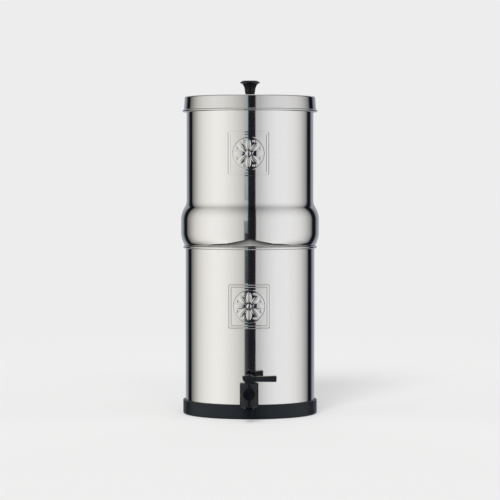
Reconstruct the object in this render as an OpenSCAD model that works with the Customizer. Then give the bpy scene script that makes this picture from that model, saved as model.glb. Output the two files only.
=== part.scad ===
// Gravity water filter: two stacked steel vessels, a loose lid and a lever tap.
// Millimetres, +Z up. The origin is on the vessels' axis at the resting plane, and the tap faces -Y.

/* [Vessel walls] */
// Sheet thickness of both vessels and the lid
sheet_t = 0.8; // [0.6:0.1:1.2]
// Gap left where the round shoulder and the lid rest on a rolled rim
seat_gap = 0.3; // [0.2:0.05:0.5]

/* [Lower vessel] */
// Outside diameter of the lower vessel's wall
lower_d = 203.3; // [185:0.1:225]
// Height of the lower vessel from its floor to the top of its rim
lower_h = 259.4; // [210:0.1:310]
// Radius of the lower vessel's bottom corner
lower_corner_r = 8; // [5:0.5:12]
// Thickness of the lower vessel's rolled rim
lower_roll_d = 4.5; // [3.6:0.1:5.5]
// How far the rolled rim stands out from the lower vessel's wall
lower_roll_out = 3.75; // [3.2:0.05:4.5]

/* [Upper vessel] */
// How far the upper vessel's wall stands inside the lower vessel's wall
upper_set_in = 1.65; // [1:0.05:4]
// Height of the upper vessel from its shoulder to the top of its rim
upper_h = 234; // [220:1:290]
// How far the bulge stands out beyond the lower vessel's rim
bulge_over = 3.4; // [1.5:0.1:5]
// Height of the straight band round the bulge
bulge_band_h = 19.2; // [10:0.1:30]
// Radius of the curve above the band
bulge_top_r = 37.7; // [25:0.1:50]
// Radius of the hollow where the bulge meets the wall
neck_r = 20.5; // [12:0.1:30]
// Radius of the curve under the band
bulge_under_r = 42; // [32:0.5:60]
// Radius of the shoulder that rests on the lower rim
shoulder_r = 5; // [4:0.1:6]
// Depth of the recessed floor under the shoulder
recess_h = 21.8; // [14:0.1:32]
// Radial gap between the recess and the lower vessel
recess_clear = 2.65; // [2.3:0.05:4]
// Radius of the fillet between the shoulder and the recess
recess_fillet_r = 1.5; // [1:0.1:2]
// Radius of the recess's bottom corner
recess_corner_r = 8; // [5:0.5:12]
// Thickness of the upper vessel's rolled rim
upper_roll_d = 2.8; // [2:0.1:3.4]
// How far that rim stands out from the wall
upper_roll_out = 1.9; // [1.4:0.1:2.4]

/* [Lid] */
// Height of the lid
lid_h = 24.4; // [16:0.1:32]
// Radial gap between the lid and the upper rim
lid_clear = 0.3; // [0.2:0.05:1]
// Radius of the lid's top corner
lid_corner_r = 2.5; // [1:0.1:2.5]
// How much the lid's skirt widens towards its rim
lid_flare = 1.2; // [0.6:0.1:2.5]
// Thickness of the lid's rolled rim
lid_roll_d = 3.9; // [2.6:0.1:4.4]
// How far that rim stands out from the skirt
lid_roll_out = 2.3; // [1.6:0.1:3]

/* [Lid knob] */
// Height of the knob
knob_h = 25; // [20:0.5:34]
// Diameter of the knob's flange
knob_d = 31.4; // [26:0.1:40]
// Diameter of the knob's foot
knob_foot_d = 12.8; // [11:0.1:16]
// Diameter of the knob's neck, where the flange starts to spread
knob_neck_d = 16.4; // [14:0.1:20]
// Diameter of the knob's flat top
knob_top_d = 24; // [18:0.5:28]
// Height of the spreading part under the flange
knob_spread_h = 13.2; // [9:0.1:16]
// Height of the flange's upright edge
knob_edge_h = 1.3; // [0.8:0.1:4]
// Height of the bevel round the knob's top
knob_bevel_h = 2.5; // [1:0.1:4]
// Diameter of the knob's screw
knob_screw_d = 5; // [4:0.5:6]
// Depth the screw reaches into the knob
knob_screw_reach = 14; // [10:0.5:17]
// Diameter of the screw's head
screw_head_d = 9.5; // [8:0.5:13]
// Height of the screw's head
screw_head_h = 3; // [2:0.1:4]
// Diameter of the washer under the lid
knob_washer_d = 16; // [14:0.5:24]
// Thickness of that washer
knob_washer_t = 1.2; // [0.8:0.1:2]

/* [Filter candles] */
// Distance of the candles and plugs from the axis
floor_hole_at = 50; // [40:0.5:56]
// Outside diameter of a candle
candle_d = 51; // [44:0.5:56]
// Height of the ceramic shell
candle_h = 166; // [120:1:170]
// Wall thickness of the ceramic shell
candle_wall = 8; // [6:0.5:10]
// Radius of the candle's domed edge
candle_dome_r = 20; // [14:0.5:22]
// Diameter of the carbon block inside
core_d = 31; // [20:0.5:31]
// Height of the carbon block
core_h = 140; // [80:1:142]
// How far the moulded base's cup stands out round the shell
candle_cup_t = 2; // [1.5:0.1:3]
// Depth of the cup that the shell stands in
candle_cup_h = 7; // [4:0.5:10]
// Thickness of the cup's floor
candle_cup_floor = 4; // [3:0.1:6]
// Radial room for the glue between shell and cup
candle_glue_t = 0.3; // [0.1:0.05:0.6]
// Diameter of the threaded stem
thread_d = 12; // [10:0.5:14]
// Length of the candle's stem below the vessel's floor
candle_stem_l = 34; // [26:1:40]
// Bore of the candle's stem
candle_bore_d = 6; // [4:0.5:7]
// Radial gap between a stem and what is pushed or screwed over it
thread_clear = 0.2; // [0.1:0.05:0.4]
// Pitch of the stem's thread
thread_pitch = 2.5; // [2:0.25:3]
// Depth of the stem's thread
thread_depth = 0.9; // [0.5:0.1:1.2]
// Outside diameter of the sealing washers
seal_d = 26; // [22:0.5:32]
// Thickness of the sealing washers
seal_t = 2.5; // [1.5:0.1:4]
// Diameter of the wing nut's hub
wing_hub_d = 20; // [18:0.5:24]
// Height of the wing nut's hub
wing_hub_h = 10; // [8:0.5:14]
// Reach of each wing from the nut's axis
wing_reach = 20; // [16:0.5:26]
// Thickness of a wing
wing_t = 3; // [2:0.1:5]
// Height of a wing
wing_h = 13; // [11:0.5:18]

/* [Blanking plugs] */
// Diameter of a plug's head
plug_head_d = 25; // [22:0.5:32]
// Height of a plug's head
plug_head_h = 5; // [3:0.5:9]
// Radius round the top of a plug's head
plug_head_r = 2.5; // [1:0.1:2.9]
// Length of a plug's stem below the vessel's floor
plug_stem_l = 16; // [13:0.5:24]
// Width of a plug's nut across its corners
plug_nut_d = 23; // [20:0.5:28]
// Height of a plug's nut
plug_nut_h = 8; // [6:0.5:11]

/* [Base ring] */
// Height of the base ring
base_h = 22.5; // [16:0.5:24]
// Wall thickness of the base ring
base_wall_t = 3.75; // [3.2:0.05:6]
// Gap between the base ring and the lower vessel
base_clear = 0.3; // [0:0.05:0.5]
// Height of the ledge that carries the vessel
base_ledge_h = 6; // [4:0.5:9]
// Width of that ledge
base_ledge_w = 18; // [15:0.5:30]
// Radius of the ring's bottom edge
base_foot_r = 3; // [1.5:0.1:3.2]
// Radius of the ring's top edge
base_lip_r = 1.4; // [0.6:0.1:1.5]

/* [Tap body] */
// Height of the tap's centre above the resting plane
tap_z = 42.7; // [42:0.1:70]
// Distance of the tap's upright axis from the vessel's wall
tap_reach = 48.35; // [46:0.05:70]
// Diameter of the tap's barrel
barrel_d = 28.7; // [27:0.1:34]
// Depth of the barrel below the tap's centre
barrel_below = 18.7; // [17:0.1:24]
// Height of the barrel above the tap's centre
barrel_above = 11; // [10:0.1:14]
// Radius of the barrel's bottom edge
barrel_edge_r = 1.5; // [1:0.1:5]
// Diameter of the water space inside the barrel
barrel_bore_d = 22; // [20.5:0.1:23]
// Thickness of the barrel's floor
barrel_floor_t = 4; // [3:0.1:5]
// Diameter of the flat boss on the barrel's front
boss_d = 18.6; // [12:0.1:19]
// Distance of the boss's centre below the barrel's top
boss_down = 9.6; // [9.6:0.1:13]
// How far the boss stands out
boss_out = 1.2; // [0.6:0.1:3]
// Outside diameter of the spout
spout_d = 14; // [13:0.1:18]
// Length of the spout below the barrel
spout_l = 17; // [8:0.1:17.5]
// Height of the cone between barrel and spout
spout_cone_h = 3; // [1:0.1:5]
// Bore of the spout
outlet_d = 10; // [8:0.1:10.5]
// Height of the raised seat round the outlet
seat_h = 1.5; // [1:0.1:2.5]
// Width of the raised seat's rim
seat_w = 2; // [1:0.1:3]

/* [Tap fixing] */
// Diameter of the threaded shank
shank_d = 16; // [15:0.1:18]
// Bore of the shank
shank_bore_d = 9; // [7:0.1:10]
// Gap round the shank in the vessel's wall, the washers and the nut
shank_clear = 0.2; // [0.1:0.05:0.5]
// Diameter of the shank's flange and of the rubber washers
flange_d = 27; // [24:0.5:30]
// Thickness of the flange
flange_t = 4; // [3:0.1:6]
// Thickness of the outer washer at its thinnest
outer_washer_t = 3; // [2:0.1:4]
// Thickness of the inner washer at its thinnest
inner_washer_t = 1.6; // [1:0.1:3]
// Width of the tap nut across its corners
tap_nut_d = 27; // [24:0.5:32]
// Thickness of the tap nut
tap_nut_t = 8; // [6:0.5:12]
// Length of shank left beyond the nut
shank_end_l = 5; // [2:0.5:12]

/* [Bonnet, stem and spring] */
// Height of the bonnet above the barrel
bonnet_h = 6.9; // [6:0.1:12]
// Thickness of the bonnet's top
bonnet_top_t = 3; // [2:0.1:4]
// Bevel round the bonnet's top
bonnet_bevel = 0.8; // [0.3:0.1:1.5]
// Length of the bonnet's sleeve inside the barrel
sleeve_l = 6; // [4:0.1:7]
// Wall thickness of that sleeve
sleeve_t = 2.2; // [1.6:0.1:2.3]
// Gap between the sleeve and the barrel
sleeve_clear = 0.1; // [0.05:0.05:0.3]
// Diameter of the stem
stem_d = 8; // [7:0.1:8.4]
// Radial running gap of moving pieces on the stem and the pin
run_clear = 0.05; // [0.02:0.01:0.1]
// Diameter of the stem's flange
stem_flange_d = 15; // [14:0.1:15.5]
// Thickness of that flange
stem_flange_t = 2; // [1.5:0.1:3]
// Diameter of the seat cup
cup_d = 17.5; // [17:0.1:18.5]
// Height of the seat cup
cup_h = 5.5; // [4.5:0.1:7]
// Diameter of the stem's nose in the cup
nose_d = 5; // [4:0.1:6]
// Length of that nose
nose_l = 3.5; // [2:0.1:3.8]
// Gap between flat faces that press together but move apart
face_gap = 0.05; // [0.02:0.01:0.1]
// Diameter of the thrust washer above the spring
thrust_d = 16.4; // [15:0.1:16.6]
// Thickness of that washer
thrust_t = 1.5; // [1:0.1:2]
// Diameter of the spring's wire
wire_d = 1.2; // [0.8:0.1:1.4]
// Mean diameter of the spring
spring_d = 11.6; // [11:0.1:12.2]
// Turns of the spring
spring_turns = 6; // [4:0.5:8]

/* [Lever] */
// Height of the pin above the bonnet
pin_up = 6; // [5.5:0.1:8]
// Diameter of the lever's pin
pin_d = 3; // [2.5:0.1:3.4]
// How much the lever lifts the stem when it is turned up
stem_lift = 4.5; // [3:0.1:5]
// Gap between the lever's heel and the bonnet
heel_gap = 0.3; // [0.2:0.05:0.4]
// Radius of the lever's round hub
hub_r = 6.6; // [6.4:0.1:7.5]
// Width of the hub
hub_w = 15; // [13.5:0.1:18]
// Distance from the pin to where the arm leaves the heel
arm_root_x = 5.3; // [4.8:0.1:6]
// Height of the heel's flat that holds the lever turned up
heel_land = 1; // [0.5:0.1:1.5]
// Gap between the stem and the slot that holds it
slot_gap = 0.3; // [0.25:0.05:0.4]
// Length of the arm from the tap's axis
arm_l = 41.8; // [30:0.1:44]
// Depth of the arm below the pin
arm_below = 4.2; // [3:0.1:4.5]
// Height of the arm above the pin at the hub
arm_above = 3.2; // [2.5:0.1:4]
// Height of the arm above the pin at its tip
arm_tip_above = 4.6; // [3:0.1:5]
// Width of the arm at the hub
arm_root_w = 9; // [7:0.1:11]
// Width of the arm at its tip
arm_tip_w = 12.5; // [9:0.1:16]
// Corner radius of the arm's tip
arm_tip_r = 2; // [0.8:0.1:3]

/* [Colours] */
steel_colour = "#c9cac7";
black_colour = "#1f2124";
base_colour = "#2b2f34";
ceramic_colour = "#f1eee6";
carbon_colour = "#262626";
moulding_colour = "#dfe3e6";
rubber_colour = "#3a3b3d";
wire_colour = "#b4b7ba";

/* [Hidden] */

$fn = 96;
arc_steps = 10;
// Facets of a wall that a thin washer is cut to
wall_fn = 720;
// Extra length that lets a cut pass right through a face
cut = 1;

// Lower vessel: radii and heights
lower_r = lower_d / 2;
lower_ri = lower_r - sheet_t;
rim_top_z = base_ledge_h + lower_h;
roll_r = lower_roll_d / 2;
roll_at = lower_r + lower_roll_out - roll_r;
roll_z = rim_top_z - roll_r;

// Upper vessel: the shoulder's circle rests beside the lower rim's circle
recess_r = lower_ri - recess_clear;
shoulder_at = recess_r + recess_fillet_r;
shoulder_z = roll_z - shoulder_r
    + sqrt(pow(roll_r + shoulder_r + seat_gap, 2) - pow(roll_at - shoulder_at, 2));
bulge_r = lower_r + lower_roll_out + bulge_over;
under_turn = acos((shoulder_at - bulge_r + bulge_under_r) / (bulge_under_r - shoulder_r));
band_z = shoulder_z + shoulder_r + (bulge_under_r - shoulder_r) * sin(under_turn);
band_top_z = band_z + bulge_band_h;
upper_r = lower_r - upper_set_in;
neck_turn = acos(1 - (bulge_r - upper_r) / (bulge_top_r + neck_r));
neck_z = band_top_z + (bulge_top_r + neck_r) * sin(neck_turn);
floor_z = shoulder_z - recess_h;
floor_top_z = floor_z + sheet_t;
upper_top_z = shoulder_z + upper_h;
upper_roll_r = upper_roll_d / 2;
upper_roll_at = upper_r + upper_roll_out - upper_roll_r;
upper_roll_z = upper_top_z - upper_roll_r;

// Lid
lid_r = upper_r + upper_roll_out + lid_clear + sheet_t;
lid_under_z = upper_top_z + seat_gap;
lid_z = lid_under_z + sheet_t;
lid_roll_r = lid_roll_d / 2;
lid_rim_r = lid_r + lid_flare;
lid_roll_z = lid_z - lid_h + lid_roll_r;

// Candles and plugs, upwards from the upper vessel's floor
candle_base_z = floor_top_z + seal_t;
candle_z = candle_base_z + candle_cup_floor;
candle_cup_d = candle_d + 2 * candle_glue_t;

// Tap
tap_y = -lower_r - tap_reach;
barrel_r = barrel_d / 2;
barrel_bottom_z = tap_z - barrel_below;
barrel_top_z = tap_z + barrel_above;
barrel_floor_z = barrel_bottom_z + barrel_floor_t;
seat_z = barrel_floor_z + seat_h;
boss_up = barrel_above - boss_down;
bonnet_z = barrel_top_z + bonnet_h;
bonnet_under_z = bonnet_z - bonnet_top_t;
sleeve_r = barrel_bore_d / 2 - sleeve_clear;
stem_r = stem_d / 2;
cup_z = seat_z + face_gap;
flange_z = cup_z + cup_h;
spring_z = flange_z + stem_flange_t + face_gap;
thrust_z = bonnet_under_z - face_gap - thrust_t;
pin_z = bonnet_z + pin_up;
slot_half = stem_r + slot_gap;

// Flat faces of the tap's washers, clear of the curved wall at the washers' edge
inner_edge_y = sqrt(pow(lower_ri, 2) - pow(flange_d / 2, 2));
outer_face_y = -lower_r - outer_washer_t;
inner_face_y = -inner_edge_y + inner_washer_t;
nut_face_y = inner_face_y + tap_nut_t;
shank_end_y = nut_face_y + shank_end_l;

// Cam of the lever's heel: its reach grows evenly with the angle from heel_start
heel_start = pin_up - heel_gap;
heel_rate = stem_lift / 90;
heel_slope = heel_rate * 180 / PI;

// Points of an arc about [x, y], from angle a to angle b
function arc(x, y, r, a, b) =
    [for (i = [0 : arc_steps]) let (t = a + (b - a) * i / arc_steps) [x + r * cos(t), y + r * sin(t)]];

function reversed(list) = [for (i = [len(list) - 1 : -1 : 0]) list[i]];

// Section of a vessel, from the centre of its floor to its top, set inwards by "inset"
function upper_line(inset) = concat(
    [[0, floor_z + inset]],
    arc(recess_r - recess_corner_r, floor_z + recess_corner_r, recess_corner_r - inset, -90, 0),
    arc(shoulder_at, shoulder_z - recess_fillet_r, recess_fillet_r + inset, 180, 90),
    arc(shoulder_at, shoulder_z + shoulder_r, shoulder_r - inset, -90, -under_turn),
    arc(bulge_r - bulge_under_r, band_z, bulge_under_r - inset, -under_turn, 0),
    arc(bulge_r - bulge_top_r, band_top_z, bulge_top_r - inset, 0, neck_turn),
    arc(upper_r + neck_r, neck_z, neck_r + inset, 180 + neck_turn, 180),
    [[upper_r - inset, upper_roll_z]]
);

function lower_line(inset) = concat(
    [[0, base_ledge_h + inset]],
    arc(lower_r - lower_corner_r, base_ledge_h + lower_corner_r, lower_corner_r - inset, -90, 0),
    [[lower_r - inset, roll_z]]
);

function lid_line(inset) = concat(
    [[knob_screw_d / 2 + thread_clear, lid_z - inset]],
    arc(lid_r - lid_corner_r, lid_z - lid_corner_r, lid_corner_r - inset, 90, 0),
    [[lid_rim_r - inset, lid_roll_z]]
);

// A vessel turned from its section, with a rolled rim of radius "roll" at [at, z]
module turned_shell(outer, inner, roll, at, z) {
    rotate_extrude() polygon(concat(outer, reversed(inner)));
    rotate_extrude() translate([at, z]) circle(r = roll);
}

module ring(outer_d, inner_d, h) {
    difference() {
        cylinder(d = outer_d, h = h);
        translate([0, 0, -cut]) cylinder(d = inner_d, h = h + 2 * cut);
    }
}

// A threaded rod that hangs down from z = 0, with one groove per turn
module threaded_rod(d, l) {
    root_r = d / 2 - thread_depth;
    turns = floor(l / thread_pitch) - 1;
    rotate_extrude() polygon(concat(
        [[0, 0], [d / 2, 0]],
        [for (i = [0 : turns - 1], p = [0 : 1])
            [p == 0 ? d / 2 : root_r, -thread_pitch * (i + 0.5 + p / 2)]],
        [[d / 2, -thread_pitch * (turns + 0.5)], [d / 2, -l + thread_depth]],
        [[root_r, -l], [0, -l]]
    ));
}

// Laid out at the four holes of the upper vessel's floor
module at_left() translate([-floor_hole_at, 0, 0]) children();
module at_right() translate([floor_hole_at, 0, 0]) children();
module at_front() translate([0, -floor_hole_at, 0]) children();
module at_back() translate([0, floor_hole_at, 0]) children();

// Lid -------------------------------------------------------------

module lid() {
    color(steel_colour)
        turned_shell(lid_line(0), lid_line(sheet_t), lid_roll_r,
            lid_rim_r + lid_roll_out - lid_roll_r, lid_roll_z);
}

module lid_knob() {
    spread_z = knob_h - knob_bevel_h - knob_edge_h - knob_spread_h;
    spread_w = (knob_d - knob_neck_d) / 2;
    color(black_colour)
        translate([0, 0, lid_z])
            difference() {
                rotate_extrude() polygon(concat(
                    [[0, 0], [knob_foot_d / 2, 0]],
                    [for (i = [0 : arc_steps]) let (a = 90 * i / arc_steps)
                        [knob_d / 2 - spread_w * cos(a), spread_z + knob_spread_h * sin(a)]],
                    [[knob_d / 2, knob_h - knob_bevel_h], [knob_top_d / 2, knob_h], [0, knob_h]]
                ));
                translate([0, 0, -cut])
                    cylinder(d = knob_screw_d + thread_clear, h = knob_screw_reach + 2 * cut);
            }
}

module knob_washer() {
    color(wire_colour)
        translate([0, 0, lid_under_z - knob_washer_t])
            ring(knob_washer_d, knob_screw_d + 2 * thread_clear, knob_washer_t);
}

module knob_screw() {
    head_top_z = lid_under_z - knob_washer_t;
    color(wire_colour) {
        translate([0, 0, head_top_z])
            cylinder(d = knob_screw_d, h = lid_z - head_top_z + knob_screw_reach);
        difference() {
            translate([0, 0, head_top_z - screw_head_h]) cylinder(d = screw_head_d, h = screw_head_h);
            translate([0, 0, head_top_z - screw_head_h - cut])
                cylinder(d = screw_head_d / 2, h = screw_head_h / 2 + cut, $fn = 6);
        }
    }
}

// Upper vessel ----------------------------------------------------

module upper_chamber() {
    color(steel_colour)
        difference() {
            turned_shell(upper_line(0), upper_line(sheet_t), upper_roll_r, upper_roll_at, upper_roll_z);
            for (turn = [0 : 90 : 270])
                rotate([0, 0, turn])
                    translate([floor_hole_at, 0, floor_z - cut])
                        cylinder(d = thread_d + 2 * thread_clear, h = sheet_t + 2 * cut);
        }
}

// Candle ----------------------------------------------------------

// A closed tube with a rounded top, set inwards by "inset"
function dome_line(inset) = concat(
    [[0, candle_h - inset]],
    arc(candle_d / 2 - candle_dome_r, candle_h - candle_dome_r, candle_dome_r - inset, 90, 0),
    [[candle_d / 2 - inset, 0]]
);

module candle_shell() {
    color(ceramic_colour)
        translate([0, 0, candle_z])
            rotate_extrude()
                polygon(concat(dome_line(0), reversed(dome_line(candle_wall))));
}

module carbon_core() {
    color(carbon_colour) translate([0, 0, candle_z]) cylinder(d = core_d, h = core_h);
}

module candle_base() {
    color(moulding_colour)
        difference() {
            union() {
                translate([0, 0, candle_base_z])
                    cylinder(d = candle_cup_d + 2 * candle_cup_t, h = candle_cup_floor + candle_cup_h);
                translate([0, 0, floor_z]) cylinder(d = thread_d, h = candle_base_z - floor_z);
                translate([0, 0, floor_z]) threaded_rod(thread_d, candle_stem_l);
            }
            translate([0, 0, candle_z]) cylinder(d = candle_cup_d, h = candle_cup_h + cut);
            translate([0, 0, floor_z - candle_stem_l - cut])
                cylinder(d = candle_bore_d, h = candle_stem_l + candle_z - floor_z + 2 * cut);
        }
}

// The sealing washer that lies on the upper vessel's floor
module floor_washer() {
    color(rubber_colour)
        translate([0, 0, floor_top_z]) ring(seal_d, thread_d + 2 * thread_clear, seal_t);
}

module wing_nut() {
    color(moulding_colour)
        difference() {
            union() {
                translate([0, 0, floor_z - wing_hub_h]) cylinder(d = wing_hub_d, h = wing_hub_h);
                for (side = [0, 180])
                    rotate([90, 0, side])
                        translate([0, floor_z - wing_hub_h, -wing_t / 2])
                            linear_extrude(wing_t) {
                                square([wing_reach - wing_h / 2, wing_hub_h]);
                                translate([wing_reach - wing_h / 2, wing_hub_h - wing_h / 2 - cut])
                                    circle(d = wing_h);
                            }
            }
            translate([0, 0, floor_z - wing_h - 2 * cut])
                cylinder(d = thread_d + 2 * thread_clear, h = wing_h + 4 * cut);
        }
}

// Blanking plug ---------------------------------------------------

module blanking_plug() {
    color(moulding_colour) {
        translate([0, 0, floor_top_z + seal_t])
            rotate_extrude() polygon(concat(
                [[0, 0], [plug_head_d / 2, 0]],
                arc(plug_head_d / 2 - plug_head_r, plug_head_h - plug_head_r, plug_head_r, 0, 90),
                [[0, plug_head_h]]
            ));
        translate([0, 0, floor_z]) cylinder(d = thread_d, h = sheet_t + seal_t);
        translate([0, 0, floor_z]) threaded_rod(thread_d, plug_stem_l);
    }
}

module plug_nut() {
    color(moulding_colour)
        translate([0, 0, floor_z - plug_nut_h])
            difference() {
                cylinder(d = plug_nut_d, h = plug_nut_h, $fn = 6);
                translate([0, 0, -cut]) cylinder(d = thread_d + 2 * thread_clear, h = plug_nut_h + 2 * cut);
            }
}

// Lower vessel and base -------------------------------------------

// A round bar along +Y from y0 to y1, at the height of the tap's centre
module bar_y(d, y0, y1) {
    translate([0, y0, tap_z]) rotate([-90, 0, 0]) cylinder(d = d, h = y1 - y0);
}

module lower_chamber() {
    color(steel_colour)
        difference() {
            turned_shell(lower_line(0), lower_line(sheet_t), roll_r, roll_at, roll_z);
            bar_y(shank_d + 2 * shank_clear, -lower_r - cut, -lower_ri + 2 * cut);
        }
}

module base_ring() {
    inner_r = lower_r + base_clear;
    outer_r = inner_r + base_wall_t;
    color(base_colour)
        rotate_extrude() polygon(concat(
            [[lower_r - base_ledge_w, 0]],
            arc(outer_r - base_foot_r, base_foot_r, base_foot_r, -90, 0),
            arc(outer_r - base_lip_r, base_h - base_lip_r, base_lip_r, 0, 90),
            [[inner_r, base_h], [inner_r, base_ledge_h], [lower_r - base_ledge_w, base_ledge_h]]
        ));
}

// Tap -------------------------------------------------------------

module tap_body() {
    cone_z = barrel_bottom_z - spout_cone_h;
    color(black_colour)
        difference() {
            union() {
                translate([0, tap_y, 0]) rotate_extrude() polygon(concat(
                    [[0, barrel_bottom_z - spout_l], [spout_d / 2, barrel_bottom_z - spout_l],
                        [spout_d / 2, cone_z]],
                    arc(barrel_r - barrel_edge_r, barrel_bottom_z + barrel_edge_r, barrel_edge_r, -90, 0),
                    [[barrel_r, barrel_top_z], [0, barrel_top_z]]
                ));
                translate([0, 0, boss_up]) bar_y(boss_d, tap_y - barrel_r - boss_out, tap_y);
                bar_y(shank_d, tap_y, shank_end_y);
                bar_y(flange_d, outer_face_y - flange_t, outer_face_y);
            }
            translate([0, tap_y, barrel_floor_z])
                difference() {
                    cylinder(d = barrel_bore_d, h = barrel_top_z - barrel_floor_z + cut);
                    translate([0, 0, -cut]) cylinder(d = outlet_d + 2 * seat_w, h = seat_h + cut);
                }
            translate([0, tap_y, barrel_bottom_z - spout_l - cut])
                cylinder(d = outlet_d, h = spout_l + barrel_floor_t + seat_h + 2 * cut);
            bar_y(shank_bore_d, tap_y, shank_end_y + cut);
        }
}

module tap_bonnet() {
    color(black_colour)
        translate([0, tap_y, 0])
            difference() {
                union() {
                    translate([0, 0, barrel_top_z])
                        cylinder(d = barrel_d, h = bonnet_h - bonnet_bevel);
                    translate([0, 0, bonnet_z - bonnet_bevel])
                        cylinder(r1 = barrel_r, r2 = barrel_r - bonnet_bevel, h = bonnet_bevel);
                    translate([0, 0, barrel_top_z - sleeve_l]) cylinder(r = sleeve_r, h = sleeve_l + cut);
                }
                translate([0, 0, barrel_top_z - sleeve_l - cut])
                    cylinder(r = sleeve_r - sleeve_t, h = bonnet_under_z - barrel_top_z + sleeve_l + cut);
                translate([0, 0, bonnet_under_z - cut])
                    cylinder(r = stem_r + run_clear, h = bonnet_top_t + 2 * cut);
            }
}

module tap_outer_washer() {
    color(rubber_colour)
        difference() {
            bar_y(flange_d, outer_face_y, -lower_ri);
            cylinder(r = lower_r, h = tap_z + flange_d, $fn = wall_fn);
            bar_y(shank_d + 2 * shank_clear, outer_face_y - cut, -lower_ri + cut);
        }
}

module tap_inner_washer() {
    color(rubber_colour)
        difference() {
            intersection() {
                bar_y(flange_d, -lower_r, inner_face_y);
                cylinder(r = lower_ri, h = tap_z + flange_d, $fn = wall_fn);
            }
            bar_y(shank_d + 2 * shank_clear, -lower_r - cut, inner_face_y + cut);
        }
}

module tap_nut() {
    color(black_colour)
        difference() {
            translate([0, inner_face_y, tap_z])
                rotate([-90, 0, 0])
                    cylinder(d = tap_nut_d, h = tap_nut_t, $fn = 6);
            bar_y(shank_d + 2 * shank_clear, inner_face_y - cut, nut_face_y + cut);
        }
}

module thrust_washer() {
    color(moulding_colour)
        translate([0, tap_y, thrust_z]) ring(thrust_d, stem_d + 2 * run_clear, thrust_t);
}

// Height of the wire's centre after t turns: the end turns lie flat against each other
function coil_rise(t, length) =
    let (open = (length - 3 * wire_d) / (spring_turns - 2))
    t < 1 ? wire_d * t
    : t > spring_turns - 1 ? length - wire_d - wire_d * (spring_turns - t)
    : wire_d + open * (t - 1);

module tap_spring() {
    sides = 8;
    steps = 24 * spring_turns;
    length = thrust_z - face_gap - spring_z;
    points = [for (i = [0 : steps], j = [0 : sides - 1])
        let (
            t = spring_turns * i / steps,
            side = 360 * j / sides,
            r = spring_d / 2 + wire_d / 2 * cos(side)
        )
        [r * cos(360 * t), r * sin(360 * t), wire_d / 2 + coil_rise(t, length) + wire_d / 2 * sin(side)]];
    walls = [for (i = [0 : steps - 1], j = [0 : sides - 1])
        let (k = (j + 1) % sides)
        [sides * i + j, sides * i + k, sides * (i + 1) + k, sides * (i + 1) + j]];
    ends = [
        [for (j = [sides - 1 : -1 : 0]) j],
        [for (j = [0 : sides - 1]) sides * steps + j]
    ];
    color(wire_colour)
        translate([0, tap_y, spring_z])
            polyhedron(points = points, faces = concat(walls, ends));
}

module tap_stem() {
    color(black_colour)
        difference() {
            translate([0, tap_y, 0]) {
                translate([0, 0, flange_z]) cylinder(r = stem_r, h = pin_z - flange_z);
                translate([0, 0, pin_z]) sphere(r = stem_r);
                translate([0, 0, flange_z]) cylinder(d = stem_flange_d, h = stem_flange_t);
                translate([0, 0, flange_z - nose_l]) cylinder(d = nose_d, h = nose_l + cut);
            }
            translate([0, tap_y - hub_w, pin_z])
                rotate([-90, 0, 0])
                    cylinder(d = pin_d, h = 2 * hub_w);
        }
}

module seat_cup() {
    color(rubber_colour)
        translate([0, tap_y, cup_z])
            difference() {
                cylinder(d = cup_d, h = cup_h);
                translate([0, 0, cup_h - nose_l]) cylinder(d = nose_d, h = nose_l + cut);
            }
}

module lever_pin() {
    color(wire_colour)
        translate([0, tap_y - hub_w / 2, pin_z])
            rotate([-90, 0, 0])
                cylinder(d = pin_d, h = hub_w);
}

// Side view of the lever about its pin: x along the arm, y up
module lever_outline() {
    heel_end = heel_start + stem_lift;
    heel = [for (i = [arc_steps : -1 : 0])
        let (a = 90 * i / arc_steps, p = heel_start + heel_rate * a)
        [-p * sin(a) - heel_slope * cos(a), -p * cos(a) + heel_slope * sin(a)]];
    polygon(concat(
        [[arm_root_x, -arm_below]],
        arc(arm_l - arm_tip_r, arm_tip_r - arm_below, arm_tip_r, -90, 0),
        arc(arm_l - arm_tip_r, arm_tip_above - arm_tip_r, arm_tip_r, 0, 90),
        arc(0, 0, hub_r, asin(arm_above / hub_r), 140),
        [[-heel_end, heel_slope + heel_land]],
        heel,
        [[arm_root_x, -heel_start]]
    ));
}

// Plan of the lever: the full width at the hub, then the widening arm
module lever_plan() {
    reach = heel_start + stem_lift + cut;
    tip = arm_tip_w / 2 - arm_tip_r;
    polygon(concat(
        [[-reach, -hub_w / 2], [hub_r, -hub_w / 2], [hub_r, -arm_root_w / 2]],
        arc(arm_l - arm_tip_r, -tip, arm_tip_r, -90, 0),
        arc(arm_l - arm_tip_r, tip, arm_tip_r, 0, 90),
        [[hub_r, arm_root_w / 2], [hub_r, hub_w / 2], [-reach, hub_w / 2]]
    ));
}

module tap_lever() {
    below = pin_up + stem_lift;
    color(black_colour)
        translate([0, tap_y, pin_z])
            difference() {
                intersection() {
                    translate([0, hub_w, 0]) rotate([90, 0, 0]) linear_extrude(2 * hub_w) lever_outline();
                    translate([0, 0, -below]) linear_extrude(below + 2 * hub_r) lever_plan();
                }
                translate([-2 * below, -slot_half, -2 * below])
                    cube([2 * below + slot_half, 2 * slot_half, 2 * below + slot_half]);
                translate([0, -hub_w, 0])
                    rotate([-90, 0, 0])
                        cylinder(d = pin_d + 2 * run_clear, h = 2 * hub_w);
            }
}

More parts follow.
